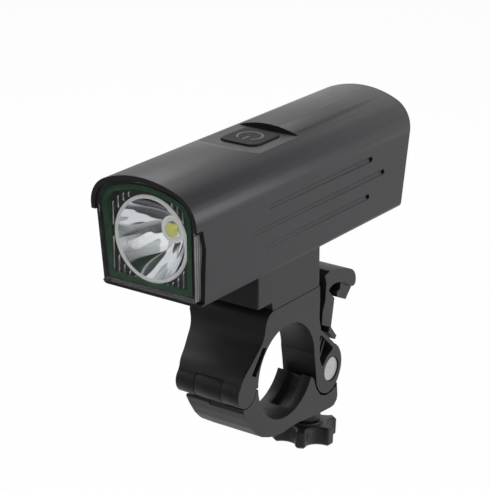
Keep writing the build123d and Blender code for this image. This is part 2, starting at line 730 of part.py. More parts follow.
def make_plunger():
    """Plunger that the button's stem presses."""
    return z_rod(PLUNGER_RADIUS, 0, 0, plunger_bottom(), STEM_END)


def make_button():
    """Rubber cap with a stem."""
    cap = Pos(0, 0, BUTTON_FLOOR) * extrude(button_face(), amount=BUTTON_HEIGHT)
    cap = fillet(cap.edges().group_by(Axis.Z)[-1], BUTTON_EDGE)
    return cap + z_rod(STEM_RADIUS, 0, 0, STEM_END, BUTTON_FLOOR)


def make_button_seal():
    """Seal ring round the stem, under the housing's top wall."""
    low = CAVITY_TOP - SEAL_HEIGHT
    ring = z_rod(SEAL_RADIUS, 0, 0, low, CAVITY_TOP)
    return ring - z_rod(STEM_RADIUS + PIN_RUN_GAP, 0, 0, low - OVERRUN, CAVITY_TOP + OVERRUN)


def cap_depth(extra=0):
    """Depth of a plane in the rear cap under the housing's rear rim."""
    return CAP_INSET + extra


def rear_slab(face, shallow, deep):
    """A (X, Z) face kept between two depths under the leaning rear end."""
    def near(z):
        return rear_face(z, deep)

    def far(z):
        return rear_face(z, shallow)

    block = front_prism(face, 0, BODY_REAR + OVERRUN)
    return block & leaning_slab(near, far, BODY_WIDE_HALF + OVERRUN)


def port_face(gap=0):
    """The charging port's oval, as (X, Z), about the port's centre."""
    width, height = PORT_WIDTH + 2 * gap, PORT_THICKNESS + 2 * gap
    return Pos(0, PORT_Z) * SlotOverall(width, height)


def cover_place():
    """Where the port's centre lies on the leaning face of the rear cap."""
    lean = math.degrees(math.atan(REAR_LEAN_SHARE))
    return Pos(0, rear_face(PORT_Z, cap_depth()), PORT_Z) * Rot(-lean, 0, 0)


def make_rear_cap():
    """Inset end cap with a lip, hinge lugs for the port cover and a shelf for the socket."""
    plate = rear_slab(body_section(REAR_EDGE_WALL + CAP_FIT), cap_depth(), cap_depth(CAP_WALL))
    lip = cavity_section(PART_GAP) - body_section(
        BODY_WALL + PART_GAP + CAP_LIP_WALL, CAVITY_TOP - PART_GAP - CAP_LIP_WALL)
    cap = plate + rear_slab(lip, cap_depth(CAP_WALL), cap_depth(CAP_WALL + CAP_LIP_DEPTH))
    shelf_top = PORT_Z - PORT_THICKNESS / 2 - CHARGE_BOARD_WALL
    shelf = Pos(0, shelf_top - SHELF_WALL / 2) * Rectangle(2 * SHELF_HALF, SHELF_WALL)
    cap += rear_slab(shelf, cap_depth(CAP_WALL), cap_depth(CAP_WALL + SHELF_LENGTH))
    cap -= front_prism(port_face(PORT_FIT), BODY_BOTTOM, BODY_REAR + OVERRUN)
    for x, z in cap_screw_places():
        cap -= y_rod(CAP_SCREW_RADIUS + SCREW_HOLE_GAP, (x, z), 0, BODY_REAR)
        cap -= y_rod(CAP_SCREW_HEAD_RADIUS + CAP_FIT, (x, z), cap_screw_seat(z), BODY_REAR + OVERRUN)
    axis = COVER_GAP + COVER_HINGE_RADIUS
    for sign in (-1, 1):
        low_x = sign * (COVER_BARREL_HALF + COVER_LUG_GAP)
        high_x = low_x + sign * COVER_LUG_WALL
        ends = (min(low_x, high_x), max(low_x, high_x))
        lug = Pos(axis, -COVER_DROP) * Circle(COVER_LUG_RADIUS)
        lug += Pos(0, -COVER_DROP) * Rectangle(2 * axis, 2 * COVER_LUG_RADIUS)
        lug -= Pos(axis, -COVER_DROP) * Circle(COVER_HINGE_RADIUS + PIN_RUN_GAP)
        cap += cover_place() * side_prism(lug, *ends)
    return cap


def make_cap_seal():
    """Flat seal between the rear cap and the ledge in the housing."""
    face = body_section(REAR_EDGE_WALL + CAP_FIT) - cavity_section()
    seal = rear_slab(face, cap_depth(CAP_WALL), cap_depth(CAP_WALL + CAP_SEAL_WALL))
    for place in cap_screw_places():
        seal -= y_rod(CAP_SCREW_RADIUS + SCREW_HOLE_GAP, place, 0, BODY_REAR)
    return seal


def make_cap_screws():
    """Two cap-head screws into the housing's thick top wall."""
    screws = []
    for x, z in cap_screw_places():
        seat = cap_screw_seat(z)
        head = y_rod(CAP_SCREW_HEAD_RADIUS, (x, z), seat, seat + CAP_SCREW_HEAD_HEIGHT)
        head -= front_prism(Pos(x, z) * RegularPolygon(CAP_SCREW_RADIUS, 6),
                            seat + CAP_SCREW_HEAD_HEIGHT / 3, seat + CAP_SCREW_HEAD_HEIGHT + OVERRUN)
        screws.append(head + y_rod(CAP_SCREW_RADIUS, (x, z), seat - CAP_SCREW_LENGTH, seat))
    return screws[0] + screws[1]


def port_mouth():
    """Y of the rear end of the socket's shell."""
    return rear_face(PORT_Z, cap_depth(PORT_INSET))


def make_port():
    """Socket shell with its tongue and a closed front end."""
    mouth = port_mouth()
    shell = front_prism(port_face(), mouth - PORT_DEPTH, mouth)
    shell -= front_prism(port_face(-PORT_SHELL_WALL), mouth - PORT_DEPTH + PORT_SHELL_WALL,
                         mouth + OVERRUN)
    tongue = Pos(0, PORT_Z) * Rectangle(PORT_TONGUE_WIDTH, PORT_TONGUE_WALL)
    return shell + front_prism(tongue, mouth - PORT_DEPTH, mouth - PORT_TONGUE_INSET)


def make_charge_board():
    """Small board under the socket, on the rear cap's shelf."""
    top = PORT_Z - PORT_THICKNESS / 2
    face = Pos(0, top - CHARGE_BOARD_WALL / 2) * Rectangle(2 * CHARGE_BOARD_HALF, CHARGE_BOARD_WALL)
    return rear_slab(face, cap_depth(CAP_WALL), cap_depth(CAP_WALL + SHELF_LENGTH))


def make_port_cover():
    """Rubber cover with a hinge barrel, a shallow plug and a finger tab."""
    axis = COVER_GAP + COVER_HINGE_RADIUS
    middle = COVER_LENGTH / 2 - COVER_DROP
    face = Pos(0, middle) * RectangleRounded(COVER_WIDTH, COVER_LENGTH, COVER_CORNER)
    notch_top = COVER_LUG_RADIUS + 2 * COVER_GAP - COVER_DROP
    for sign in (-1, 1):
        corner = Pos(sign * (COVER_BARREL_HALF + COVER_WIDTH), notch_top - COVER_LENGTH)
        face -= corner * Rectangle(2 * COVER_WIDTH, 2 * COVER_LENGTH)
    keep = Pos(0, middle + COVER_DROP / 2) * Rectangle(2 * COVER_WIDTH, COVER_LENGTH + COVER_DROP)
    face &= keep
    cover = front_prism(face, COVER_GAP, COVER_GAP + COVER_WALL)
    cover += x_rod(COVER_HINGE_RADIUS, (axis, -COVER_DROP), -COVER_BARREL_HALF, COVER_BARREL_HALF)
    reach = COVER_BARREL_HALF + COVER_LUG_GAP + COVER_LUG_WALL
    cover += x_rod(COVER_HINGE_RADIUS, (axis, -COVER_DROP), -reach, reach)
    plug = SlotOverall(PORT_WIDTH - 2 * COVER_PLUG_INSET, PORT_THICKNESS - 2 * COVER_PLUG_INSET)
    cover += front_prism(plug, -COVER_PLUG_DEPTH, COVER_GAP)
    tab = Pos(0, COVER_LENGTH - COVER_DROP - COVER_TAB) * Rectangle(COVER_WIDTH / 2, COVER_TAB)
    cover += front_prism(tab, COVER_GAP + COVER_WALL, COVER_GAP + COVER_WALL + COVER_TAB / 2)
    return cover_place() * cover


def rail_ends():
    """Y of the front and rear ends of the rail."""
    return NECK_FRONT + RAIL_FRONT_INSET, NECK_REAR - RAIL_REAR_INSET


def rail_section(gap=0):
    """T-shaped rail, or the channel that runs on it, as (X, Z)."""
    head_low = NECK_TOP + RAIL_NECK_HEIGHT - gap
    head_high = NECK_TOP + RAIL_NECK_HEIGHT + RAIL_HEAD_HEIGHT + gap
    neck_half, head_half = RAIL_NECK_HALF + gap, RAIL_HEAD_HALF + gap
    head = Pos(0, (head_low + head_high) / 2) * Rectangle(2 * head_half, head_high - head_low)
    neck = Pos(0, (NECK_TOP + head_high) / 2) * Rectangle(2 * neck_half, head_high - NECK_TOP)
    return head + neck


def make_foot():
    """Foot under the housing, with a channel that is open at the rear."""
    floor = NECK_TOP + SLIDE_GAP
    nose = NECK_FRONT - FOOT_NOSE_REACH
    side = polygon([
        (nose, floor + FOOT_NOSE_RISE), (NECK_FRONT - FOOT_EDGE, floor + FOOT_NOSE_RISE),
        (NECK_FRONT, floor), (NECK_REAR, floor), (NECK_REAR, BODY_BOTTOM), (nose, BODY_BOTTOM),
    ])
    foot = side_prism(side, -NECK_HALF, NECK_HALF)
    uprights = foot.edges().filter_by(Axis.Z)
    foot = fillet(uprights, FOOT_EDGE)
    front, _ = rail_ends()
    foot -= front_prism(rail_section(SLIDE_GAP), front - SLIDE_GAP, NECK_REAR + OVERRUN)
    ceiling = NECK_TOP + RAIL_NECK_HEIGHT + RAIL_HEAD_HEIGHT + SLIDE_GAP
    for y in foot_screw_places():
        seat = ceiling + FOOT_SCREW_HEAD_HEIGHT + SLIDE_GAP
        foot -= z_rod(FOOT_SCREW_HEAD_RADIUS + SCREW_HOLE_GAP, 0, y, NECK_TOP, seat)
        foot -= z_rod(FOOT_SCREW_RADIUS + SCREW_HOLE_GAP, 0, y, NECK_TOP, BODY_BOTTOM + OVERRUN)
    return foot


def make_foot_screws():
    """Two screws up through the foot's channel into the housing floor."""
    ceiling = NECK_TOP + RAIL_NECK_HEIGHT + RAIL_HEAD_HEIGHT + SLIDE_GAP
    seat = ceiling + FOOT_SCREW_HEAD_HEIGHT + SLIDE_GAP
    screws = []
    for y in foot_screw_places():
        head = z_rod(FOOT_SCREW_HEAD_RADIUS, 0, y, seat - FOOT_SCREW_HEAD_HEIGHT, seat)
        screws.append(head + z_rod(FOOT_SCREW_RADIUS, 0, y, seat, BODY_BOTTOM + FOOT_SCREW_BITE))
    return screws[0] + screws[1]


def upper_outline():
    """The upper clamp's side view as far as the ear's lower end."""
    front = [(NECK_FRONT, NECK_TOP)] + scaled(UPPER_FRONT_SHARES, BORE_RADIUS)
    bore = scaled(UPPER_BORE_SHARES, BORE_RADIUS)
    rear = scaled(UPPER_REAR_SHARES, BORE_RADIUS) + [(NECK_REAR, NECK_TOP), (NECK_FRONT, NECK_TOP)]
    edges = [
        Spline(front),
        Polyline(front[-1], HINGE, (0, 0), *bore),
        ThreePointArc(*scaled(EAR_FRONT_ARC_SHARES, BORE_RADIUS)),
        ThreePointArc(*scaled(EAR_LOW_ARC_SHARES, BORE_RADIUS)),
        ThreePointArc(*scaled(EAR_BACK_ARC_SHARES, BORE_RADIUS)),
        Polyline(*rear),
    ]
    return make_face(edges)


def far_front_band(points, wall):
    """A band of one wall thickness inside a front outline, as (Y, Z)."""
    inner = [(y + wall, z - wall / 2) for y, z in points]
    edges = [Spline(points), Line(points[-1], inner[-1]), Spline(inner[::-1]), Line(inner[0], points[0])]
    return make_face(edges)


def rear_room():
    """The side view's part behind the step where the ear and the jaw's tail get wider."""
    high = NECK_TOP - OVERRUN
    return polygon([(EAR_STEP_FRONT, -2 * BORE_RADIUS), (3 * BORE_RADIUS, -2 * BORE_RADIUS),
                    (3 * BORE_RADIUS, high), (EAR_STEP_FRONT, high)])


def make_upper_clamp():
    """Neck, half ring, hinge knuckles, bolt ear and the lamp's rail in one moulding."""
    far_end = -HINGE_FAR_REACH
    bar = x_rod(BORE_RADIUS, (0, 0), -NECK_HALF - OVERRUN, NECK_HALF + OVERRUN)
    clear = x_rod(BORE_RADIUS + FAR_BAR_GAP, (0, 0), -NECK_HALF - OVERRUN, RING_FAR)
    ring = side_prism(upper_outline(), RING_FAR, NECK_HALF) - bar
    deck_floor = NECK_TOP - DECK_WALL
    front = [(NECK_FRONT, NECK_TOP)] + scaled(UPPER_FRONT_SHARES, BORE_RADIUS)
    deck = polygon([(NECK_FRONT, NECK_TOP), front[1], (front[1][0], deck_floor),
                    (NECK_REAR, deck_floor), (NECK_REAR, NECK_TOP)])
    plate = far_front_band(front, WEB_WALL)
    far = side_prism(deck, -NECK_HALF, RING_FAR) + side_prism(plate, -NECK_FAR_REACH, RING_FAR)
    far_side = -NECK_FAR_REACH - OVERRUN
    taper = make_face(Polyline(
        (-NECK_FAR_REACH, deck_floor), (far_end, HINGE[1] + BARREL_RADIUS), (far_end, HINGE[1] - OVERRUN),
        (far_side, HINGE[1] - OVERRUN), (far_side, deck_floor), close=True))
    far -= front_prism(taper, HINGE[0] - 2 * BARREL_RADIUS, BORE_RADIUS)
    gusset = polygon([(RING_FAR, deck_floor), (RING_FAR, deck_floor - GUSSET_REACH),
                      (RING_FAR - GUSSET_REACH, deck_floor)])
    far += front_prism(gusset, NECK_REAR - GUSSET_WALL, NECK_REAR)
    clamp = ring + (far - clear)
    clamp += side_prism(upper_outline() & rear_room(), EAR_FAR, RING_FAR)
    clamp += x_rod(BARREL_RADIUS, HINGE, KNUCKLE_NEAR + KNUCKLE_GAP, NECK_HALF)
    clamp += x_rod(BARREL_RADIUS, HINGE, far_end, KNUCKLE_FAR - KNUCKLE_GAP)
    clamp -= x_rod(BARREL_RADIUS + KNUCKLE_SEAT_GAP, HINGE,
                   KNUCKLE_FAR - KNUCKLE_GAP, KNUCKLE_NEAR + KNUCKLE_GAP)
    clamp -= x_rod(HINGE_PIN_RADIUS, HINGE, far_end - OVERRUN, NECK_HALF - HINGE_COVER_WALL)
    ear_slot = polygon([(PIN[0] - EAR_SLOT_REACH, PIN[1] - 2 * EAR_SLOT_REACH),
                        (PIN[0] - EAR_SLOT_REACH, PIN[1] + EAR_SLOT_REACH),
                        (PIN[0] + 2 * EAR_SLOT_REACH, PIN[1] + EAR_SLOT_REACH),
                        (PIN[0] + 2 * EAR_SLOT_REACH, PIN[1] - 2 * EAR_SLOT_REACH)])
    clamp -= side_prism(ear_slot, BOLT_MIDDLE - BOLT_SLOT_HALF, BOLT_MIDDLE + BOLT_SLOT_HALF)
    clamp -= x_rod(BARREL_PIN_RADIUS + PIN_RUN_GAP, PIN, EAR_FAR - OVERRUN, NECK_HALF + OVERRUN)
    pocket = polygon(scaled(EAR_POCKET_SHARES, BORE_RADIUS))
    pocket = fillet(pocket.vertices(), BORE_RADIUS * EAR_POCKET_CORNER_SHARE)
    clamp -= side_prism(pocket, NECK_HALF - EAR_POCKET_DEPTH, NECK_HALF + OVERRUN)
    for ends in EAR_RIB_SHARES:
        rib = offset(Line(*scaled(ends, BORE_RADIUS)), EAR_RIB_WALL / 2, side=Side.BOTH)
        rib = make_face(rib.edges()) & pocket
        clamp += side_prism(rib, NECK_HALF - EAR_POCKET_DEPTH, NECK_HALF - EAR_RIB_INSET)
    slot = polygon(scaled(RING_SLOT_SHARES, BORE_RADIUS))
    slot = fillet(slot.vertices(), RING_SLOT_CORNER)
    clamp -= side_prism(slot, NECK_HALF - RING_SLOT_DEPTH, NECK_HALF + OVERRUN)
    clamp += front_prism(rail_section(), *rail_ends())
    lug = polygon([(NECK_REAR - OVERRUN, LEVER_PIVOT[1] - LEVER_LUG_RADIUS),
                   (LEVER_PIVOT[0], LEVER_PIVOT[1] - LEVER_LUG_RADIUS),
                   (LEVER_PIVOT[0], LEVER_PIVOT[1] + LEVER_LUG_RADIUS),
                   (NECK_REAR - OVERRUN, LEVER_PIVOT[1] + LEVER_LUG_RADIUS)])
    lug += Pos(*LEVER_PIVOT) * Circle(LEVER_LUG_RADIUS)
    clamp += side_prism(lug, -LEVER_LUG_HALF, LEVER_LUG_HALF)
    post = polygon([(NECK_REAR - OVERRUN, NECK_TOP), (NECK_REAR, NECK_TOP),
                    (NECK_REAR, LEVER_PIVOT[1] - LEVER_LUG_RADIUS),
                    (NECK_REAR - OVERRUN, LEVER_PIVOT[1] - LEVER_LUG_RADIUS)])
    clamp += side_prism(post, -LEVER_LUG_HALF, NECK_HALF / 2)
    return clamp - x_rod(LEVER_PIN_RADIUS, LEVER_PIVOT, -NECK_HALF, NECK_HALF)


def jaw_outline():
    """The lower jaw's side view."""
    outer = scaled(JAW_OUTER_SHARES, BORE_RADIUS)
    top = scaled(JAW_TOP_SHARES, BORE_RADIUS)
    seat = bolt_point(SEAT_DISTANCE)
    tail = math.radians(JAW_TAIL_ANGLE)
    end = (PIN[0] + SEAT_DISTANCE * math.sin(tail), PIN[1] - SEAT_DISTANCE * math.cos(tail))
    middle = (PIN[0], PIN[1] - SEAT_DISTANCE)
    start = (HINGE[0], -JAW_SPLIT_GAP)
    lean = math.radians(BOLT_LEAN)
    pad = COLLAR_RADIUS + COLLAR_GAP
    pad_front = (seat[0] - pad * math.cos(lean), seat[1] + pad * math.sin(lean))
    edges = [Polyline(start, *outer, pad_front, seat), ThreePointArc(seat, middle, end),
             Polyline(end, *top, (0, -JAW_SPLIT_GAP), start)]
    return make_face(edges)


def bolt_point(distance):
    """(Y, Z) at a distance from the pin along the bolt."""
    lean = math.radians(BOLT_LEAN)
    return PIN[0] - distance * math.sin(lean), PIN[1] - distance * math.cos(lean)


def make_lower_jaw():
    """Half ring with the centre knuckle, a wide front and a slot for the bolt."""
    bar = x_rod(BORE_RADIUS, (0, 0), -NECK_HALF - OVERRUN, NECK_HALF + OVERRUN)
    clear = x_rod(BORE_RADIUS + FAR_BAR_GAP, (0, 0), -NECK_HALF - OVERRUN, RING_FAR)
    ring = side_prism(jaw_outline(), RING_FAR, NECK_HALF) - bar
    ring = chamfer(ring.edges().filter_by(Axis.X).group_by(Axis.Y)[0], JAW_EDGE)
    far = side_prism(jaw_outline(), -JAW_FAR_REACH, RING_FAR) - clear
    step = make_face(Polyline(
        (-JAW_FAR_REACH, HINGE[0] + BARREL_RADIUS), (RING_FAR, -BORE_RADIUS / 2),
        (RING_FAR, PIN[0] + BORE_RADIUS), (-NECK_HALF, PIN[0] + BORE_RADIUS),
        (-NECK_HALF, HINGE[0] + BARREL_RADIUS), close=True))
    far -= Pos(0, 0, -2 * BORE_RADIUS) * extrude(step, amount=2 * BORE_RADIUS)
    jaw = ring + far + side_prism(jaw_outline() & rear_room(), EAR_FAR, RING_FAR)
    reach = BARREL_RADIUS + KNUCKLE_SEAT_GAP
    jaw -= x_rod(reach, HINGE, KNUCKLE_NEAR, NECK_HALF + OVERRUN)
    jaw -= x_rod(reach, HINGE, -NECK_HALF, KNUCKLE_FAR)
    jaw += x_rod(BARREL_RADIUS, HINGE, KNUCKLE_FAR, KNUCKLE_NEAR)
    jaw -= x_rod(HINGE_PIN_RADIUS + PIN_RUN_GAP, HINGE, -NECK_HALF, NECK_HALF)
    slot_front = bolt_point(SEAT_DISTANCE)[0] - BOLT_RADIUS / math.cos(math.radians(BOLT_LEAN))
    slot = polygon([(slot_front - BOLT_SLOT_GAP, -2 * BORE_RADIUS), (slot_front - BOLT_SLOT_GAP, 0),
                    (PIN[0] + BORE_RADIUS, 0), (PIN[0] + BORE_RADIUS, -2 * BORE_RADIUS)])
    jaw -= side_prism(slot, BOLT_MIDDLE - BOLT_SLOT_HALF, BOLT_MIDDLE + BOLT_SLOT_HALF)
    groove = x_rod(BORE_RADIUS + JAW_GROOVE_DEPTH, (0, 0), RING_MIDDLE - JAW_GROOVE_HALF,
                   RING_MIDDLE + JAW_GROOVE_HALF)
    seats = (Align.CENTER, Align.MIN, Align.CENTER)
    room = Box(NECK_HALF * 2, BORE_RADIUS * 2, BORE_RADIUS * 4, align=seats)
    return jaw - (groove & (Pos(RING_MIDDLE, JAW_GROOVE_START) * room))


def make_hinge_pin():
    """Plain pin through the three knuckles."""
    return x_rod(HINGE_PIN_RADIUS, HINGE, -HINGE_FAR_REACH + PIN_END_INSET, NECK_HALF - HINGE_COVER_WALL)


def bolt_place():
    """Frame at the barrel pin whose -Z runs along the bolt."""
    return Pos(BOLT_MIDDLE, *PIN) * Rot(-BOLT_LEAN, 0, 0)


def make_barrel_pin():
    """Cross pin of the swing bolt, with a waist hole for the bolt."""
    pin = x_rod(BARREL_PIN_RADIUS, PIN, EAR_FAR + BARREL_PIN_INSET, NECK_HALF - BARREL_PIN_INSET)
    pin = chamfer(pin.edges(), BARREL_PIN_INSET / 2)
    return pin - bolt_place() * z_rod(BOLT_RADIUS, 0, 0, -2 * BARREL_PIN_RADIUS, BARREL_PIN_RADIUS / 2)


def knob_top():
    """Distance from the pin to the upper end of the knob's hub."""
    return SEAT_DISTANCE + COLLAR_GAP + COLLAR_THICKNESS + HUB_GAP


def knob_end():
    """Distance from the pin to the lower end of the knob."""
    return knob_top() + HUB_HEIGHT + KNOB_HEIGHT


def make_bolt():
    """Threaded rod fixed in the barrel pin."""
    return bolt_place() * z_rod(BOLT_RADIUS, 0, 0, -knob_end() + BOLT_END_INSET, BARREL_PIN_RADIUS / 2)


def make_collar():
    """Thrust washer between the jaw and the knob."""
    top = SEAT_DISTANCE + COLLAR_GAP
    ring = z_rod(COLLAR_RADIUS, 0, 0, -top - COLLAR_THICKNESS, -top)
    ring = chamfer(ring.edges(), COLLAR_EDGE)
    ring -= z_rod(BOLT_RADIUS + COLLAR_BORE_GAP, 0, 0, -top - COLLAR_THICKNESS - OVERRUN, 0)
    return bolt_place() * ring


def make_knob():
    """Star knob with a hub."""
    face = Circle(KNOB_RADIUS)
    for index in range(KNOB_LOBES):
        turn = Rot(0, 0, (index + 1 / 2) * 360 / KNOB_LOBES + KNOB_TURN)
        reach = KNOB_RADIUS + KNOB_SCALLOP_RADIUS - KNOB_SCALLOP_DEPTH
        face -= turn * Pos(reach, 0) * Circle(KNOB_SCALLOP_RADIUS)
    face = fillet(face.vertices(), KNOB_LOBE_ROUND)
    low = -knob_end()
    knob = Pos(0, 0, low) * extrude(face, amount=KNOB_HEIGHT)
    ends = knob.edges().group_by(Axis.Z)
    knob = chamfer(ends[0] + ends[-1], KNOB_EDGE)
    knob += z_rod(HUB_RADIUS, 0, 0, low + KNOB_HEIGHT, low + KNOB_HEIGHT + HUB_HEIGHT)
    knob -= z_rod(INSERT_RADIUS, 0, 0, low - OVERRUN, 0)
    return bolt_place() * knob


def make_insert():
    """Threaded bush in the knob."""
    low, high = -knob_end(), -knob_top()
    bush = z_rod(INSERT_RADIUS, 0, 0, low, high)
    return bolt_place() * (bush - z_rod(BOLT_RADIUS + INSERT_THREAD_GAP, 0, 0, low - OVERRUN, 0))


def lever_points(shares):
    """Places in the lever's side view from shares of its height."""
    return [(LEVER_PIVOT[0] + y, LEVER_PIVOT[1] + z) for y, z in scaled(shares, LEVER_HEIGHT)]


def make_lever():
    """Hooked release lever with two cheeks round the clamp's lug."""
    pivot_y, pivot_z = LEVER_PIVOT
    edges = [
        Spline(lever_points(LEVER_TOP_SHARES)),
        Polyline(*lever_points(LEVER_TIP_SHARES)),
        Spline(lever_points(LEVER_INNER_SHARES)),
        Polyline(*lever_points(LEVER_STEM_SHARES)),
    ]
    lever = side_prism(make_face(edges), -LEVER_HALF, LEVER_HALF)
    web_half = LEVER_HALF - LEVER_WEB_INSET
    lever += side_prism(polygon(lever_points(LEVER_WEB_SHARES)), -web_half, web_half)
    pocket = polygon(lever_points(LEVER_POCKET_SHARES))
    lever -= side_prism(pocket, LEVER_HALF - LEVER_POCKET_DEPTH, LEVER_HALF + OVERRUN)
    lever -= side_prism(pocket, -LEVER_HALF - OVERRUN, -LEVER_HALF + LEVER_POCKET_DEPTH)
    slot_half = LEVER_LUG_HALF + LEVER_LUG_GAP
    reach = LEVER_LUG_RADIUS + LEVER_LUG_GAP + PIN_RUN_GAP
    slot = Pos(pivot_y, pivot_z) * Circle(reach)
    slot += Pos(pivot_y - LEVER_PIVOT_BACK, pivot_z) * Rectangle(2 * LEVER_PIVOT_BACK, 2 * reach)
    lever -= side_prism(slot, -slot_half, slot_half)
    hole_end = LEVER_HALF - LEVER_PIN_INSET + PIN_RUN_GAP
    return lever - x_rod(LEVER_PIN_RADIUS + PIN_RUN_GAP, LEVER_PIVOT, -NECK_HALF - OVERRUN, hole_end)


def make_lever_pin():
    """Pin through the clamp's lug and the lever's cheeks."""
    half = LEVER_HALF - LEVER_PIN_INSET
    return x_rod(LEVER_PIN_RADIUS, LEVER_PIVOT, -half, half)


NODES = {
    "housing": make_housing,
    "front_lens": make_lens,
    "lens_seal": make_lens_seal,
    "ribbed_panel": make_panel,
    "reflector": make_reflector,
    "led_board": make_led_board,
    "led_emitter": make_emitter,
    "led_screws": make_led_screws,
    "heat_sink": make_heat_sink,
    "battery_carrier": make_carrier,
    "battery_cell": make_cell,
    "contact_front": lambda: make_contact(CELL_FRONT - CONTACT_WALL),
    "contact_rear": lambda: make_contact(CELL_FRONT + CELL_LENGTH),
    "driver_board": make_driver_board,
    "switch_body": make_switch,
    "switch_plunger": make_plunger,
    "power_button": make_button,
    "button_seal": make_button_seal,
    "rear_cap": make_rear_cap,
    "rear_cap_seal": make_cap_seal,
    "rear_cap_screws": make_cap_screws,
    "charge_socket": make_port,
    "charge_board": make_charge_board,
    "port_cover": make_port_cover,
    "lamp_foot": make_foot,
    "foot_screws": make_foot_screws,
    "upper_clamp": make_upper_clamp,
    "hinge_pin": make_hinge_pin,
    "lower_jaw": make_lower_jaw,
    "swing_bolt": make_bolt,
    "barrel_pin": make_barrel_pin,
    "thrust_collar": make_collar,
    "star_knob": make_knob,
    "knob_insert": make_insert,
    "release_lever": make_lever,
    "lever_pin": make_lever_pin,
}

os.makedirs("parts", exist_ok=True)
for node, make in NODES.items():
    shape = Pos(-RING_MIDDLE, 0, 0) * make()
    export_step(shape, "parts/" + node + ".step")
    box = shape.bounding_box()
    print(node, len(shape.solids()), round(shape.volume, 1), box.min, box.max)
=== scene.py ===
"""Studio scene of a bike headlight on a hinged quick-release handlebar clamp.

Metres, +Z up, beam towards -Y, and the origin at the centre of the clamp's bore.
"""
import json
import math

import bmesh
import bpy
from mathutils import Matrix, Vector


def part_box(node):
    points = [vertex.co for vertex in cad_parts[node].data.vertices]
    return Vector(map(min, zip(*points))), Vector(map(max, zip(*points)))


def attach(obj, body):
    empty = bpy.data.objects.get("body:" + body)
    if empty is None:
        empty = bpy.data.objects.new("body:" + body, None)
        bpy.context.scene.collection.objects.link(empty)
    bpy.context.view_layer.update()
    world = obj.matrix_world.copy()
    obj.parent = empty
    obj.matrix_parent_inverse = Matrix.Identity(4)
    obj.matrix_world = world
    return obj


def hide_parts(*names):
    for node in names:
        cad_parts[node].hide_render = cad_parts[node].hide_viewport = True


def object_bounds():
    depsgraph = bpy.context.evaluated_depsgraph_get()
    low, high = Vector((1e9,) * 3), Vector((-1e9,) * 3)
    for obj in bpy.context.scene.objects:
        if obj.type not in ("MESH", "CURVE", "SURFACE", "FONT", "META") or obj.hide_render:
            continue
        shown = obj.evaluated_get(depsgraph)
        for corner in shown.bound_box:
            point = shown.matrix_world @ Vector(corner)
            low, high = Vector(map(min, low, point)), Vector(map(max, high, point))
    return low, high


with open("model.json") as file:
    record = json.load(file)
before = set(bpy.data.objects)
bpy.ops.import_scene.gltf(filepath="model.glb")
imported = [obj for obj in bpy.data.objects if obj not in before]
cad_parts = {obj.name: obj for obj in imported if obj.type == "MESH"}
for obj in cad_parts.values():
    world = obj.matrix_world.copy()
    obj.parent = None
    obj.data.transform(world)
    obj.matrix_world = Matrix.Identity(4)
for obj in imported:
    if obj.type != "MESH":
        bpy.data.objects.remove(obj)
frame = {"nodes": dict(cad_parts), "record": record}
cad_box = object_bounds()

# Camera, solved from the photograph's edges
VIEW_AZIMUTH = 35.42
VIEW_ELEVATION = 20.34
VIEW_DISTANCE = 0.623449
VIEW_ACROSS = -0.008
VIEW_UP = 0.038805
FOCAL_PIXELS = 1946
PHOTO_PIXELS = 490
SENSOR_WIDTH = 36
CLIP_NEAR = 0.01
CLIP_FAR = 20

# Stage
FLOOR_DROP = 0.07
FLOOR_SIZE = 6
BACKDROP_WHITE = (1, 1, 1, 1)
FLOOR_WHITE_SHARE = 0.93
WORLD_FILL = 0.3
STUDIO_FRONT_SHARE = 0.08
STUDIO_FRONT_FROM = -0.55
STUDIO_FRONT_TO = 0.0
STUDIO_TOP_FROM = 0.35
STUDIO_TOP_TO = 0.6
STUDIO_TOP_SHARE = 0.6
FLOOR_FRONT_FROM = -0.32
FLOOR_FRONT_TO = 0.05
SOFTBOX_SCALE = 2.2
SOFTBOX_EDGE_SHARES = (0.52, 0.56)

# Optics
REFLECTOR_RADIUS = 0.0135
REFLECTOR_RIM = 0.0011
RIM_FACETS = 10
REFLECTOR_WALL = 0.0006
REFLECTOR_THROAT = 0.0043
REFLECTOR_NECK = 0.0008
REFLECTOR_STEPS = 24
ROUND_SEGMENTS = 128
CHIP_HALF = 0.0016
CHIP_HEIGHT = 0.0003
CHIP_EDGE_SHARE = 0.25
DOME_RADIUS = 0.0026
DOME_HEIGHT_SHARE = 0.8
DOME_STEPS = 12
BASE_RADIUS = 0.0039
BASE_EDGE = 0.0003

# Ribs of the panel round the reflector
RIB_PITCH = 0.0020
RIB_HALF = 0.00028
RIB_DEPTH = 0.0006
RIB_FACETS = 8
RIB_END_SHARE = 0.3
RIB_SHORTEST = 0.001
PANEL_SHOULDER = 0.0070
PANEL_RISE = 0.0047
RIB_TOP_GAP = 0.0028
RIB_MARGIN = 0.0006

# Ribs on the lens's sides
SIDE_RIBS = 4
SIDE_RIB_PITCH = 0.00105
SIDE_RIB_HALF = 0.00046
SIDE_RIB_LIFT = 0.00022
SIDE_RIB_CORNER = 0.004
SIDE_RIB_TOP = 0.0215
LENS_LEAN_SHARE = 0.07

# Power symbol on the button
SYMBOL_RADIUS = 0.0040
SYMBOL_LINE = 0.00042
SYMBOL_HEIGHT = 0.00016
SYMBOL_GAP_ANGLE = 72
SYMBOL_BAR = 0.0040
SYMBOL_STEPS = 48
SYMBOL_PROFILE_SHARES = ((-1, -0.5), (-0.7, 0.7), (0, 1), (0.7, 0.7), (1, -0.5))
SYMBOL_END_SHARE = 0.5
SYMBOL_BAR_SHARES = (0, 0.2, 0.5, 0.8, 1)

# Edge rounding of the CAD pieces
EDGE_FINE = 0.00015
EDGE_SOFT = 0.00035
EDGE_ANGLE = 35
EDGE_SEGMENTS = 3
WELD_DISTANCE = 0.000002

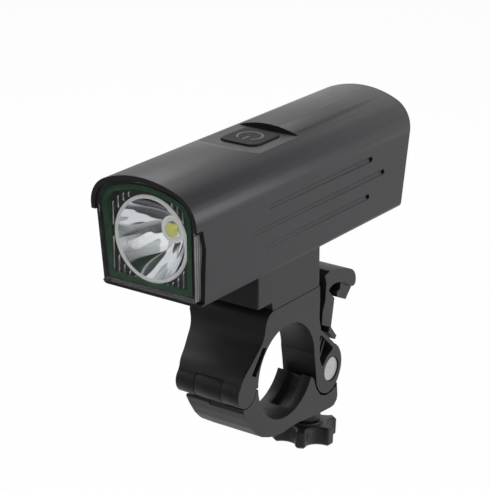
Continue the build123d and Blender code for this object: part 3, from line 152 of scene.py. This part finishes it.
# Texture of the finishes
MOTTLE_EDGE_SHARES = (0.3, 0.7)
GLOSS_PATCH_SHARE = 0.25
WAVE_SIZE = 0.012
WAVE_RELIEF = 0.0002
WAVE_STRENGTH = 0.05

# Lamps: place, size and power
LAMPS = {
    "key_right": ((0.95, 0.45, 0.12), 0.5, 6.8),
    "top_soft": ((-0.45, 0.3, 0.9), 0.6, 6.5),
    "front_fill": ((0.25, -1.0, 0.35), 0.5, 0.8),
}


def new_material(name):
    """A node material with its Principled shader."""
    made = bpy.data.materials.new(name)
    made.use_nodes = True
    nodes, links = made.node_tree.nodes, made.node_tree.links
    shader = nodes["Principled BSDF"]
    return made, nodes, links, shader


def noise(nodes, links, size, detail=3):
    """Noise over the object's own coordinates, with features of the given size in metres."""
    place = nodes.new("ShaderNodeTexCoord")
    made = nodes.new("ShaderNodeTexNoise")
    made.inputs["Scale"].default_value = 1 / size
    made.inputs["Detail"].default_value = detail
    links.new(place.outputs["Object"], made.inputs["Vector"])
    return made


def surface(name, colour, rough, metal=0.0, grain=0.0002, relief=0.00001, depth=0.3,
            patch=0.02, shade=0.06, rough_spread=0.04, specular=0.5, coat=0.0, coat_rough=0.1, glow=0.0):
    """An opaque finish: mottled colour, uneven gloss and a fine moulded or blasted grain; glow adds
    painted light, the colour shining as a glow of its own.
    """
    made, nodes, links, shader = new_material(name)
    shader.inputs["Metallic"].default_value = metal
    shader.inputs["Specular IOR Level"].default_value = specular
    shader.inputs["Coat Weight"].default_value = coat
    shader.inputs["Coat Roughness"].default_value = coat_rough
    mottle = noise(nodes, links, patch)
    ramp = nodes.new("ShaderNodeValToRGB")
    dark, light = ramp.color_ramp.elements
    dark.position, light.position = MOTTLE_EDGE_SHARES
    dark.color = [part * (1 - shade) for part in colour] + [1]
    light.color = [min(1, part * (1 + shade)) for part in colour] + [1]
    links.new(mottle.outputs["Fac"], ramp.inputs["Fac"])
    links.new(ramp.outputs["Color"], shader.inputs["Base Color"])
    # Painted light: with glow the finish emits its own colour, a painted glow on a part that is no lamp.
    if glow:
        shader.inputs["Emission Strength"].default_value = glow
        links.new(ramp.outputs["Color"], shader.inputs["Emission Color"])
    gloss = noise(nodes, links, patch * GLOSS_PATCH_SHARE)
    spread = nodes.new("ShaderNodeMapRange")
    spread.inputs["To Min"].default_value = rough - rough_spread
    spread.inputs["To Max"].default_value = rough + rough_spread
    links.new(gloss.outputs["Fac"], spread.inputs["Value"])
    links.new(spread.outputs["Result"], shader.inputs["Roughness"])
    fine = noise(nodes, links, grain, detail=2)
    bump = nodes.new("ShaderNodeBump")
    bump.inputs["Strength"].default_value = depth
    bump.inputs["Distance"].default_value = relief
    links.new(fine.outputs["Fac"], bump.inputs["Height"])
    links.new(bump.outputs["Normal"], shader.inputs["Normal"])
    return made


def clear_surface(name, colour, rough, ior, specular=0.5):
    """Clear moulded plastic with a trace of unevenness."""
    made, nodes, links, shader = new_material(name)
    shader.inputs["Specular IOR Level"].default_value = specular
    shader.inputs["Base Color"].default_value = (*colour, 1)
    shader.inputs["Roughness"].default_value = rough
    shader.inputs["IOR"].default_value = ior
    shader.inputs["Transmission Weight"].default_value = 1
    waves = noise(nodes, links, WAVE_SIZE, detail=1)
    bump = nodes.new("ShaderNodeBump")
    bump.inputs["Strength"].default_value = WAVE_STRENGTH
    bump.inputs["Distance"].default_value = WAVE_RELIEF
    links.new(waves.outputs["Fac"], bump.inputs["Height"])
    links.new(bump.outputs["Normal"], shader.inputs["Normal"])
    return made


FINISHES = {
    "housing_finish": surface("anodised_housing", (0.021, 0.021, 0.024), 0.42, metal=0.2,
                              grain=0.00016, relief=0.000012, depth=0.5, shade=0.05, specular=0.3),
    "clamp_plastic": surface("moulded_plastic", (0.018, 0.018, 0.020), 0.46,
                             grain=0.00022, relief=0.000018, depth=0.6, shade=0.07, specular=0.25),
    "knob_plastic": surface("knob_plastic", (0.015, 0.015, 0.017), 0.48,
                            grain=0.00025, relief=0.00002, depth=0.6, shade=0.08, specular=0.3),
    "lens_clear": clear_surface("clear_lens", (0.98, 1.0, 0.99), 0.01, 1.49, specular=0.35),
    "seal_green": surface("green_frame", (0.030, 0.135, 0.062), 0.3, grain=0.0006,
                          shade=0.2, patch=0.006, specular=0.3),
    "panel_smoke": surface("smoked_panel", (0.026, 0.028, 0.026), 0.22, grain=0.0008,
                           shade=0.3, patch=0.004, coat=0.3, coat_rough=0.05),
    # Painted highlights: the panel's ribs get a light metallic colour so they show as bright strokes,
    # standing in for glints along the rib edges.
    "painted_highlight_ribs": surface("painted_highlight_ribs", (0.62, 0.63, 0.62), 0.16, metal=0.9, grain=0.0008,
                           shade=0.25, patch=0.002),
    # Painted highlight: the satin rim glows with its own colour, standing in for the bright ring of
    # reflected light.
    "satin_rim_painted_glow": surface("satin_rim_painted_glow", (0.78, 0.78, 0.79), 0.3, grain=0.0004,
                         relief=0.00001, depth=0.3, shade=0.05, glow=0.3),
    "side_frost": surface("side_frost", (0.15, 0.155, 0.15), 0.2, grain=0.0006, shade=0.2,
                          patch=0.004, coat=0.5, coat_rough=0.05),
    "symbol_gray": surface("symbol_gray", (0.055, 0.055, 0.058), 0.5, grain=0.0003,
                           relief=0.000015, depth=0.5),
    "mirror_finish": surface("vapour_mirror", (0.84, 0.84, 0.87), 0.05, metal=1.0,
                             grain=0.003, relief=0.00002, depth=0.12, shade=0.01, rough_spread=0.015),
    # Painted light: the ceramic base glows with its own white, standing in for light it would reflect.
    "board_white": surface("board_white", (0.8, 0.8, 0.78), 0.5, glow=0.35),
    # Painted light: the unlit phosphor tile glows with its own colour, a painted glow standing in for
    # light it would reflect.
    "phosphor": surface("phosphor", (0.85, 0.83, 0.42), 0.5, grain=0.0001, shade=0.1, glow=0.2),
    "steel": surface("turned_steel", (0.56, 0.56, 0.58), 0.3, metal=1.0, grain=0.0002),
    "sink_metal": surface("sink_metal", (0.62, 0.62, 0.64), 0.45, metal=1.0),
    "inner_plastic": surface("inner_plastic", (0.08, 0.08, 0.085), 0.5),
    "cell_wrap": surface("cell_wrap", (0.04, 0.16, 0.36), 0.3, coat=0.3),
    "nickel": surface("nickel", (0.68, 0.66, 0.60), 0.25, metal=1.0, grain=0.0002),
    "circuit_board": surface("circuit_board", (0.02, 0.14, 0.05), 0.35, grain=0.0005, shade=0.25),
    "switch_black": surface("switch_black", (0.04, 0.04, 0.042), 0.45),
    "button_rubber": surface("button_rubber", (0.013, 0.013, 0.014), 0.62, grain=0.0003,
                             relief=0.000015, depth=0.5, specular=0.12),
    "black_rubber": surface("black_rubber", (0.025, 0.025, 0.027), 0.6, grain=0.0003,
                            relief=0.00002, depth=0.5),
    "pin_silver": surface("pin_silver", (0.36, 0.36, 0.37), 0.5, metal=0.7, grain=0.00035,
                          relief=0.00002, depth=0.6, shade=0.12, patch=0.0008),
    "brass_insert": surface("brass_insert", (0.66, 0.48, 0.2), 0.3, metal=1.0),
}
SLOT_OF = {part["node"]: part["material_slot"] for part in frame["record"]["subparts"]}
FINE_EDGED = {"front_lens", "lens_seal", "charge_socket", "power_button", "star_knob"}


def dress(node):
    """A CAD node gets its finish and slightly rounded edges."""
    piece = frame["nodes"][node]
    piece.data.materials.clear()
    piece.data.materials.append(FINISHES[SLOT_OF[node]])
    weld = piece.modifiers.new("weld", "WELD")
    weld.merge_threshold = WELD_DISTANCE
    edge = piece.modifiers.new("edge", "BEVEL")
    edge.width = EDGE_FINE if node in FINE_EDGED else EDGE_SOFT
    edge.segments = EDGE_SEGMENTS
    edge.limit_method = "ANGLE"
    edge.angle_limit = math.radians(EDGE_ANGLE)
    edge.use_clamp_overlap = True
    edge.harden_normals = True


def piece_from(name, build, slot, body, replaced=(), finish=None):
    """A new mesh piece, filled by build(bmesh), that rides a body and takes a slot's finish or its own."""
    mesh = bpy.data.meshes.new(name)
    work = bmesh.new()
    build(work)
    bmesh.ops.remove_doubles(work, verts=work.verts, dist=WELD_DISTANCE)
    bmesh.ops.recalc_face_normals(work, faces=work.faces)
    for face in work.faces:
        face.smooth = True
    work.to_mesh(mesh)
    work.free()
    mesh.set_sharp_from_angle(angle=math.radians(EDGE_ANGLE))
    made = bpy.data.objects.new(name, mesh)
    bpy.context.scene.collection.objects.link(made)
    mesh.materials.append(FINISHES[finish or slot])
    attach(made, body)
    if replaced:
        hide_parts(*replaced)
    return made


def spun(work, profile, axis_x, axis_z, closed=True):
    """Turns (radius, y) points about a line along Y through (axis_x, axis_z)."""
    rings = []
    for radius, y in profile:
        ring = []
        for step in range(ROUND_SEGMENTS):
            turn = math.tau * step / ROUND_SEGMENTS
            ring.append(work.verts.new((axis_x + radius * math.cos(turn), y,
                                        axis_z + radius * math.sin(turn))))
        rings.append(ring)
    count = len(rings) if closed else len(rings) - 1
    for index in range(count):
        low, high = rings[index], rings[(index + 1) % len(rings)]
        for step in range(ROUND_SEGMENTS):
            nxt = (step + 1) % ROUND_SEGMENTS
            work.faces.new((low[step], low[nxt], high[nxt], high[step]))
    return rings


cup_low, cup_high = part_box("reflector")
OPTIC_X = (cup_low.x + cup_high.x) / 2
OPTIC_Z = (cup_low.z + cup_high.z) / 2


def build_reflector(work):
    """Paraboloid and straight neck, as one thin closed shell."""
    front, seat = cup_low.y + REFLECTOR_RIM / 2, cup_high.y
    throat_y = seat - REFLECTOR_NECK
    mouth = REFLECTOR_RADIUS - REFLECTOR_RIM
    slope = (mouth ** 2 - REFLECTOR_THROAT ** 2) / (throat_y - front)
    inner = []
    for step in range(REFLECTOR_STEPS + 1):
        y = front + (throat_y - front) * step / REFLECTOR_STEPS
        inner.append((math.sqrt(REFLECTOR_THROAT ** 2 + slope * (throat_y - y)), y))
    outer = [(radius + REFLECTOR_WALL, y) for radius, y in inner[1:]]
    profile = inner + [(REFLECTOR_THROAT, seat)]
    profile += [(REFLECTOR_THROAT + REFLECTOR_WALL, seat)] + outer[::-1]
    profile += [(mouth + REFLECTOR_WALL, front)]
    spun(work, profile, OPTIC_X, OPTIC_Z)


def build_rim(work):
    """Rounded bright rim round the reflector's mouth."""
    bead = REFLECTOR_RIM / 2
    middle = REFLECTOR_RADIUS - bead
    profile = []
    for step in range(RIM_FACETS + 1):
        turn = math.pi * step / RIM_FACETS
        profile.append((middle + bead * math.cos(turn), cup_low.y + bead - bead * math.sin(turn)))
    back = cup_low.y + REFLECTOR_RIM
    profile += [(middle - bead, back), (middle + bead, back)]
    spun(work, profile, OPTIC_X, OPTIC_Z)


BASE_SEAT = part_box("led_emitter")[1].y
CHIP_FACE = BASE_SEAT - BASE_EDGE * 2


def build_base(work):
    """Ceramic disc with a bevelled edge."""
    profile = [(0, CHIP_FACE), (BASE_RADIUS - BASE_EDGE, CHIP_FACE), (BASE_RADIUS, CHIP_FACE + BASE_EDGE),
               (BASE_RADIUS, BASE_SEAT), (0, BASE_SEAT)]
    spun(work, profile, OPTIC_X, OPTIC_Z, closed=False)


def build_chip(work):
    """Square phosphor tile with softened edges."""
    made = bmesh.ops.create_cube(work, size=1)
    scale = Matrix.Diagonal((2 * CHIP_HALF, CHIP_HEIGHT, 2 * CHIP_HALF, 1))
    move = Matrix.Translation((OPTIC_X, CHIP_FACE - CHIP_HEIGHT / 2, OPTIC_Z))
    bmesh.ops.transform(work, matrix=move @ scale, verts=made["verts"])
    bmesh.ops.bevel(work, geom=work.edges[:], offset=CHIP_HEIGHT * CHIP_EDGE_SHARE, segments=2,
                    affect="EDGES")


def build_dome(work):
    """Clear dome over the phosphor tile."""
    profile = []
    seat = CHIP_FACE - CHIP_HEIGHT
    for step in range(DOME_STEPS + 1):
        turn = math.pi / 2 * step / DOME_STEPS
        rise = DOME_RADIUS * math.cos(turn) * DOME_HEIGHT_SHARE
        profile.append((DOME_RADIUS * math.sin(turn), seat - rise))
    profile.append((0, seat))
    spun(work, profile, OPTIC_X, OPTIC_Z, closed=False)


panel_low, panel_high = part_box("ribbed_panel")


def panel_top(x):
    """Height of the panel's arched top edge at a place across."""
    half = (panel_high.x - panel_low.x) / 2
    share = min(1, abs(x - OPTIC_X) / half)
    arch = panel_high.z - PANEL_RISE * share ** 2
    into = max(0, share * half - (half - PANEL_SHOULDER))
    return arch - (PANEL_SHOULDER - math.sqrt(max(0, PANEL_SHOULDER ** 2 - into ** 2)))


def build_ribs(work):
    """Fine upright ribs on the panel, broken where the reflector stands."""
    half = (panel_high.x - panel_low.x) / 2 - RIB_MARGIN
    count = int(half / RIB_PITCH)
    clear = REFLECTOR_RADIUS + RIB_MARGIN
    for index in range(-count, count + 1):
        x = OPTIC_X + index * RIB_PITCH
        low = panel_low.z + RIB_MARGIN
        high = panel_top(x) - RIB_TOP_GAP
        reach = clear ** 2 - (index * RIB_PITCH) ** 2
        stretches = [(low, high)]
        if reach > 0:
            cut = math.sqrt(reach)
            stretches = [(low, OPTIC_Z - cut), (OPTIC_Z + cut, high)]
        for bottom, top in stretches:
            if top - bottom > RIB_SHORTEST:
                add_rib(work, x, bottom, top)


def add_rib(work, x, bottom, top):
    """One rib with rounded ends."""
    columns = []
    ends = ((bottom, RIB_END_SHARE), (bottom + RIB_DEPTH, 1), (top - RIB_DEPTH, 1), (top, RIB_END_SHARE))
    for z, share in ends:
        column = []
        for step in range(RIB_FACETS + 1):
            turn = math.pi * step / RIB_FACETS
            column.append(work.verts.new((x - RIB_HALF * math.cos(turn),
                                          panel_low.y - RIB_DEPTH * math.sin(turn) * share, z)))
        columns.append(column)
    for low, high in zip(columns, columns[1:]):
        for step in range(RIB_FACETS):
            work.faces.new((low[step], low[step + 1], high[step + 1], high[step]))
        work.faces.new((low[0], high[0], high[-1], low[-1]))
    work.faces.new(columns[0])
    work.faces.new(columns[-1])


lens_low, lens_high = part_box("front_lens")


def lens_outline():
    """Half width and height of the lens at its widest place and just above its lower corners."""
    lens = frame["nodes"]["front_lens"]
    places = [lens.matrix_world @ corner.co for corner in lens.data.vertices]
    low = [place for place in places if place.z < lens_low.z + SIDE_RIB_CORNER]
    return [max((place.x - OPTIC_X, place.z) for place in group) for group in (places, low)]


def build_side_ribs(work):
    """Upright half-round ribs on the lens's sides, seen through the housing's side windows."""
    (wide_half, wide_z), (low_half, low_z) = lens_outline()
    top_z = lens_low.z + SIDE_RIB_TOP
    top_half = low_half + (wide_half - low_half) * (top_z - low_z) / (wide_z - low_z)
    for side in (-1, 1):
        for index in range(SIDE_RIBS):
            inset = SIDE_RIB_PITCH * (index + 0.5)
            rows = []
            for z, half in ((low_z, low_half), (top_z, top_half)):
                row = []
                y = lens_low.y + LENS_LEAN_SHARE * (lens_high.z - z) + inset
                for step in range(RIB_FACETS + 1):
                    turn = math.pi * step / RIB_FACETS
                    reach = half + SIDE_RIB_LIFT * math.sin(turn)
                    row.append(work.verts.new((OPTIC_X + side * reach,
                                               y - SIDE_RIB_HALF * math.cos(turn), z)))
                rows.append(row)
            for step in range(RIB_FACETS):
                work.faces.new((rows[0][step], rows[0][step + 1], rows[1][step + 1], rows[1][step]))
            work.faces.new((rows[0][0], rows[1][0], rows[1][-1], rows[0][-1]))
            work.faces.new(rows[0])
            work.faces.new(rows[1])


button_low, button_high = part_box("power_button")
BUTTON_X = (button_low.x + button_high.x) / 2
BUTTON_Y = (button_low.y + button_high.y) / 2


def ridge(work, points):
    """A low rounded ridge along points on the button's top."""
    top = button_high.z
    rows = []
    for index, point in enumerate(points):
        before = points[max(0, index - 1)]
        after = points[min(len(points) - 1, index + 1)]
        along = (after - before).normalized()
        side = Vector((-along.y, along.x))
        taper = SYMBOL_END_SHARE if index in (0, len(points) - 1) else 1
        row = []
        for reach, lift in SYMBOL_PROFILE_SHARES:
            spot = point + side * (reach * SYMBOL_LINE * taper)
            row.append(work.verts.new((spot.x, spot.y, top + lift * SYMBOL_HEIGHT * taper)))
        rows.append(row)
    for low, high in zip(rows, rows[1:]):
        for step in range(len(low) - 1):
            work.faces.new((low[step], low[step + 1], high[step + 1], high[step]))
        work.faces.new((low[-1], low[0], high[0], high[-1]))
    work.faces.new(rows[0])
    work.faces.new(rows[-1])


def build_symbol(work):
    """The usual on-off sign: a broken ring and a bar, moulded on the button."""
    ring = []
    gap = math.radians(SYMBOL_GAP_ANGLE) / 2
    for step in range(SYMBOL_STEPS + 1):
        turn = -math.pi / 2 + gap + (math.tau - 2 * gap) * step / SYMBOL_STEPS
        ring.append(Vector((BUTTON_X + SYMBOL_RADIUS * math.cos(turn),
                            BUTTON_Y + SYMBOL_RADIUS * math.sin(turn))))
    ridge(work, ring)
    end = Vector((BUTTON_X, BUTTON_Y - SYMBOL_RADIUS - SYMBOL_LINE))
    ridge(work, [end + Vector((0, SYMBOL_BAR * share)) for share in SYMBOL_BAR_SHARES])


for name in frame["nodes"]:
    dress(name)
piece_from("reflector_cup", build_reflector, "mirror_finish", "lamp", ("reflector",))
# The LED's base takes the white finish with a painted glow.
piece_from("emitter_base", build_base, "board_white", "lamp", ("led_emitter",))
# The phosphor tile takes a finish with a painted glow.
piece_from("emitter_chip", build_chip, "phosphor", "lamp")
piece_from("emitter_dome", build_dome, "lens_clear", "lamp")
# The panel's ribs take a painted-highlight finish in place of the panel's smoke.
piece_from("panel_ribs", build_ribs, "panel_smoke", "lamp", finish="painted_highlight_ribs")
# The rim takes the satin finish with a painted glow.
piece_from("reflector_rim", build_rim, "mirror_finish", "lamp", finish="satin_rim_painted_glow")
piece_from("lens_side_ribs", build_side_ribs, "lens_clear", "lamp", finish="side_frost")
piece_from("power_symbol", build_symbol, "button_rubber", "button", finish="symbol_gray")


def math_node(nodes, links, operation, first, second):
    """The result of one operation on two values or outputs."""
    made = nodes.new("ShaderNodeMath")
    made.operation = operation
    for socket, value in zip(made.inputs, (first, second)):
        if isinstance(value, bpy.types.NodeSocket):
            links.new(value, socket)
        else:
            socket.default_value = value
    return made.outputs[0]


def studio_light(nodes, links, direction, dark_from, dark_to):
    """How white the studio looks in gloss and clear parts: white behind and overhead, dark in front."""
    split = nodes.new("ShaderNodeSeparateXYZ")
    links.new(direction, split.inputs[0])
    front = nodes.new("ShaderNodeMapRange")
    front.interpolation_type = "SMOOTHSTEP"
    front.inputs["From Min"].default_value = dark_from
    front.inputs["From Max"].default_value = dark_to
    front.inputs["To Min"].default_value = STUDIO_FRONT_SHARE
    links.new(split.outputs["Y"], front.inputs["Value"])
    above = nodes.new("ShaderNodeMapRange")
    above.interpolation_type = "SMOOTHSTEP"
    above.inputs["From Min"].default_value = STUDIO_TOP_FROM
    above.inputs["From Max"].default_value = STUDIO_TOP_TO
    above.inputs["To Max"].default_value = STUDIO_TOP_SHARE
    links.new(split.outputs["Z"], above.inputs["Value"])
    return math_node(nodes, links, "MAXIMUM", front.outputs["Result"], above.outputs["Result"])


def soft_boxes(nodes, links, direction):
    """White patches in the dark part of the studio."""
    blobs = nodes.new("ShaderNodeTexNoise")
    blobs.inputs["Scale"].default_value = SOFTBOX_SCALE
    blobs.inputs["Detail"].default_value = 0
    links.new(direction, blobs.inputs["Vector"])
    box = nodes.new("ShaderNodeMapRange")
    box.inputs["From Min"].default_value = SOFTBOX_EDGE_SHARES[0]
    box.inputs["From Max"].default_value = SOFTBOX_EDGE_SHARES[1]
    links.new(blobs.outputs["Fac"], box.inputs["Value"])
    return box.outputs["Result"]


def ray_kinds(nodes, links):
    """Whether a ray is the camera's, and whether it left a glossy or clear surface."""
    rays = nodes.new("ShaderNodeLightPath")
    camera = rays.outputs["Is Camera Ray"]
    mirrored = math_node(nodes, links, "MAXIMUM", rays.outputs["Is Glossy Ray"],
                         rays.outputs["Is Transmission Ray"])
    return camera, mirrored


def white_backdrop(name, white_share):
    """Matte white that the camera sees as plain white, and gloss and clear parts as the studio."""
    made, nodes, links, shader = new_material(name)
    shader.inputs["Base Color"].default_value = BACKDROP_WHITE
    shader.inputs["Roughness"].default_value = 1
    shader.inputs["Specular IOR Level"].default_value = 0
    camera, mirrored = ray_kinds(nodes, links)
    either = math_node(nodes, links, "MAXIMUM", camera, mirrored)
    place = nodes.new("ShaderNodeTexCoord")
    seen = studio_light(nodes, links, place.outputs["Object"], FLOOR_FRONT_FROM, FLOOR_FRONT_TO)
    dimmed = math_node(nodes, links, "MAXIMUM", camera, seen)
    glow = nodes.new("ShaderNodeEmission")
    links.new(dimmed, glow.inputs["Strength"])
    mix = nodes.new("ShaderNodeMixShader")
    links.new(math_node(nodes, links, "MULTIPLY", either, white_share), mix.inputs[0])
    links.new(shader.outputs[0], mix.inputs[1])
    links.new(glow.outputs[0], mix.inputs[2])
    links.new(mix.outputs[0], nodes["Material Output"].inputs["Surface"])
    return made


def make_floor():
    """A wide pale floor under the part."""
    mesh = bpy.data.meshes.new("floor")
    half = FLOOR_SIZE / 2
    height = cad_box[0].z - FLOOR_DROP
    corners = [(-half, -half, height), (half, -half, height),
               (half, half, height), (-half, half, height)]
    mesh.from_pydata(corners, [], [(0, 1, 2, 3)])
    mesh.materials.append(white_backdrop("pale_floor", FLOOR_WHITE_SHARE))
    floor = bpy.data.objects.new("floor", mesh)
    bpy.context.scene.collection.objects.link(floor)


def make_world():
    """White for the camera, the studio for gloss and clear parts, and a low even fill for the rest."""
    world = bpy.data.worlds.new("studio")
    world.use_nodes = True
    bpy.context.scene.world = world
    nodes, links = world.node_tree.nodes, world.node_tree.links
    back = nodes["Background"]
    back.inputs["Color"].default_value = BACKDROP_WHITE
    camera, mirrored = ray_kinds(nodes, links)
    either = math_node(nodes, links, "MAXIMUM", camera, mirrored)
    place = nodes.new("ShaderNodeTexCoord")
    way = place.outputs["Generated"]
    studio = studio_light(nodes, links, way, STUDIO_FRONT_FROM, STUDIO_FRONT_TO)
    seen = math_node(nodes, links, "MAXIMUM", studio, soft_boxes(nodes, links, way))
    shown = math_node(nodes, links, "MULTIPLY", mirrored, seen)
    lit = math_node(nodes, links, "MAXIMUM", shown, camera)
    others = math_node(nodes, links, "SUBTRACT", 1, either)
    rest = math_node(nodes, links, "MULTIPLY", others, WORLD_FILL)
    links.new(math_node(nodes, links, "ADD", lit, rest), back.inputs["Strength"])


def aim(thing, place, target):
    """Puts a lamp at a place and turns it to a target."""
    thing.location = place
    thing.rotation_mode = "QUATERNION"
    thing.rotation_quaternion = (Vector(target) - Vector(place)).to_track_quat("-Z", "Y")


def add_light(name, place, target, size, power):
    """A square soft light."""
    data = bpy.data.lights.new(name, "AREA")
    data.shape = "SQUARE"
    data.size = size
    data.energy = power
    lamp = bpy.data.objects.new(name, data)
    lamp.visible_transmission = False
    bpy.context.scene.collection.objects.link(lamp)
    aim(lamp, place, target)


def make_camera():
    """The camera at the photograph's place, with its frame."""
    azimuth, elevation = math.radians(VIEW_AZIMUTH), math.radians(VIEW_ELEVATION)
    back = Vector((math.sin(azimuth) * math.cos(elevation),
                   -math.cos(azimuth) * math.cos(elevation), math.sin(elevation)))
    right = Vector((math.cos(azimuth), math.sin(azimuth), 0))
    up = back.cross(right)
    data = bpy.data.cameras.new("camera")
    data.sensor_width = SENSOR_WIDTH
    data.lens = SENSOR_WIDTH * FOCAL_PIXELS / PHOTO_PIXELS
    data.clip_start = CLIP_NEAR
    data.clip_end = CLIP_FAR
    camera = bpy.data.objects.new("camera", data)
    bpy.context.scene.collection.objects.link(camera)
    turn = Matrix((right, up, back)).transposed()
    place = back * VIEW_DISTANCE + right * VIEW_ACROSS + up * VIEW_UP
    camera.matrix_world = Matrix.Translation(place) @ turn.to_4x4()
    bpy.context.scene.camera = camera


MIDDLE = (cad_box[0] + cad_box[1]) / 2
make_floor()
make_world()
for name, (place, size, power) in LAMPS.items():
    add_light(name, place, MIDDLE, size, power)
make_camera()
bpy.context.scene.view_settings.view_transform = "Standard"
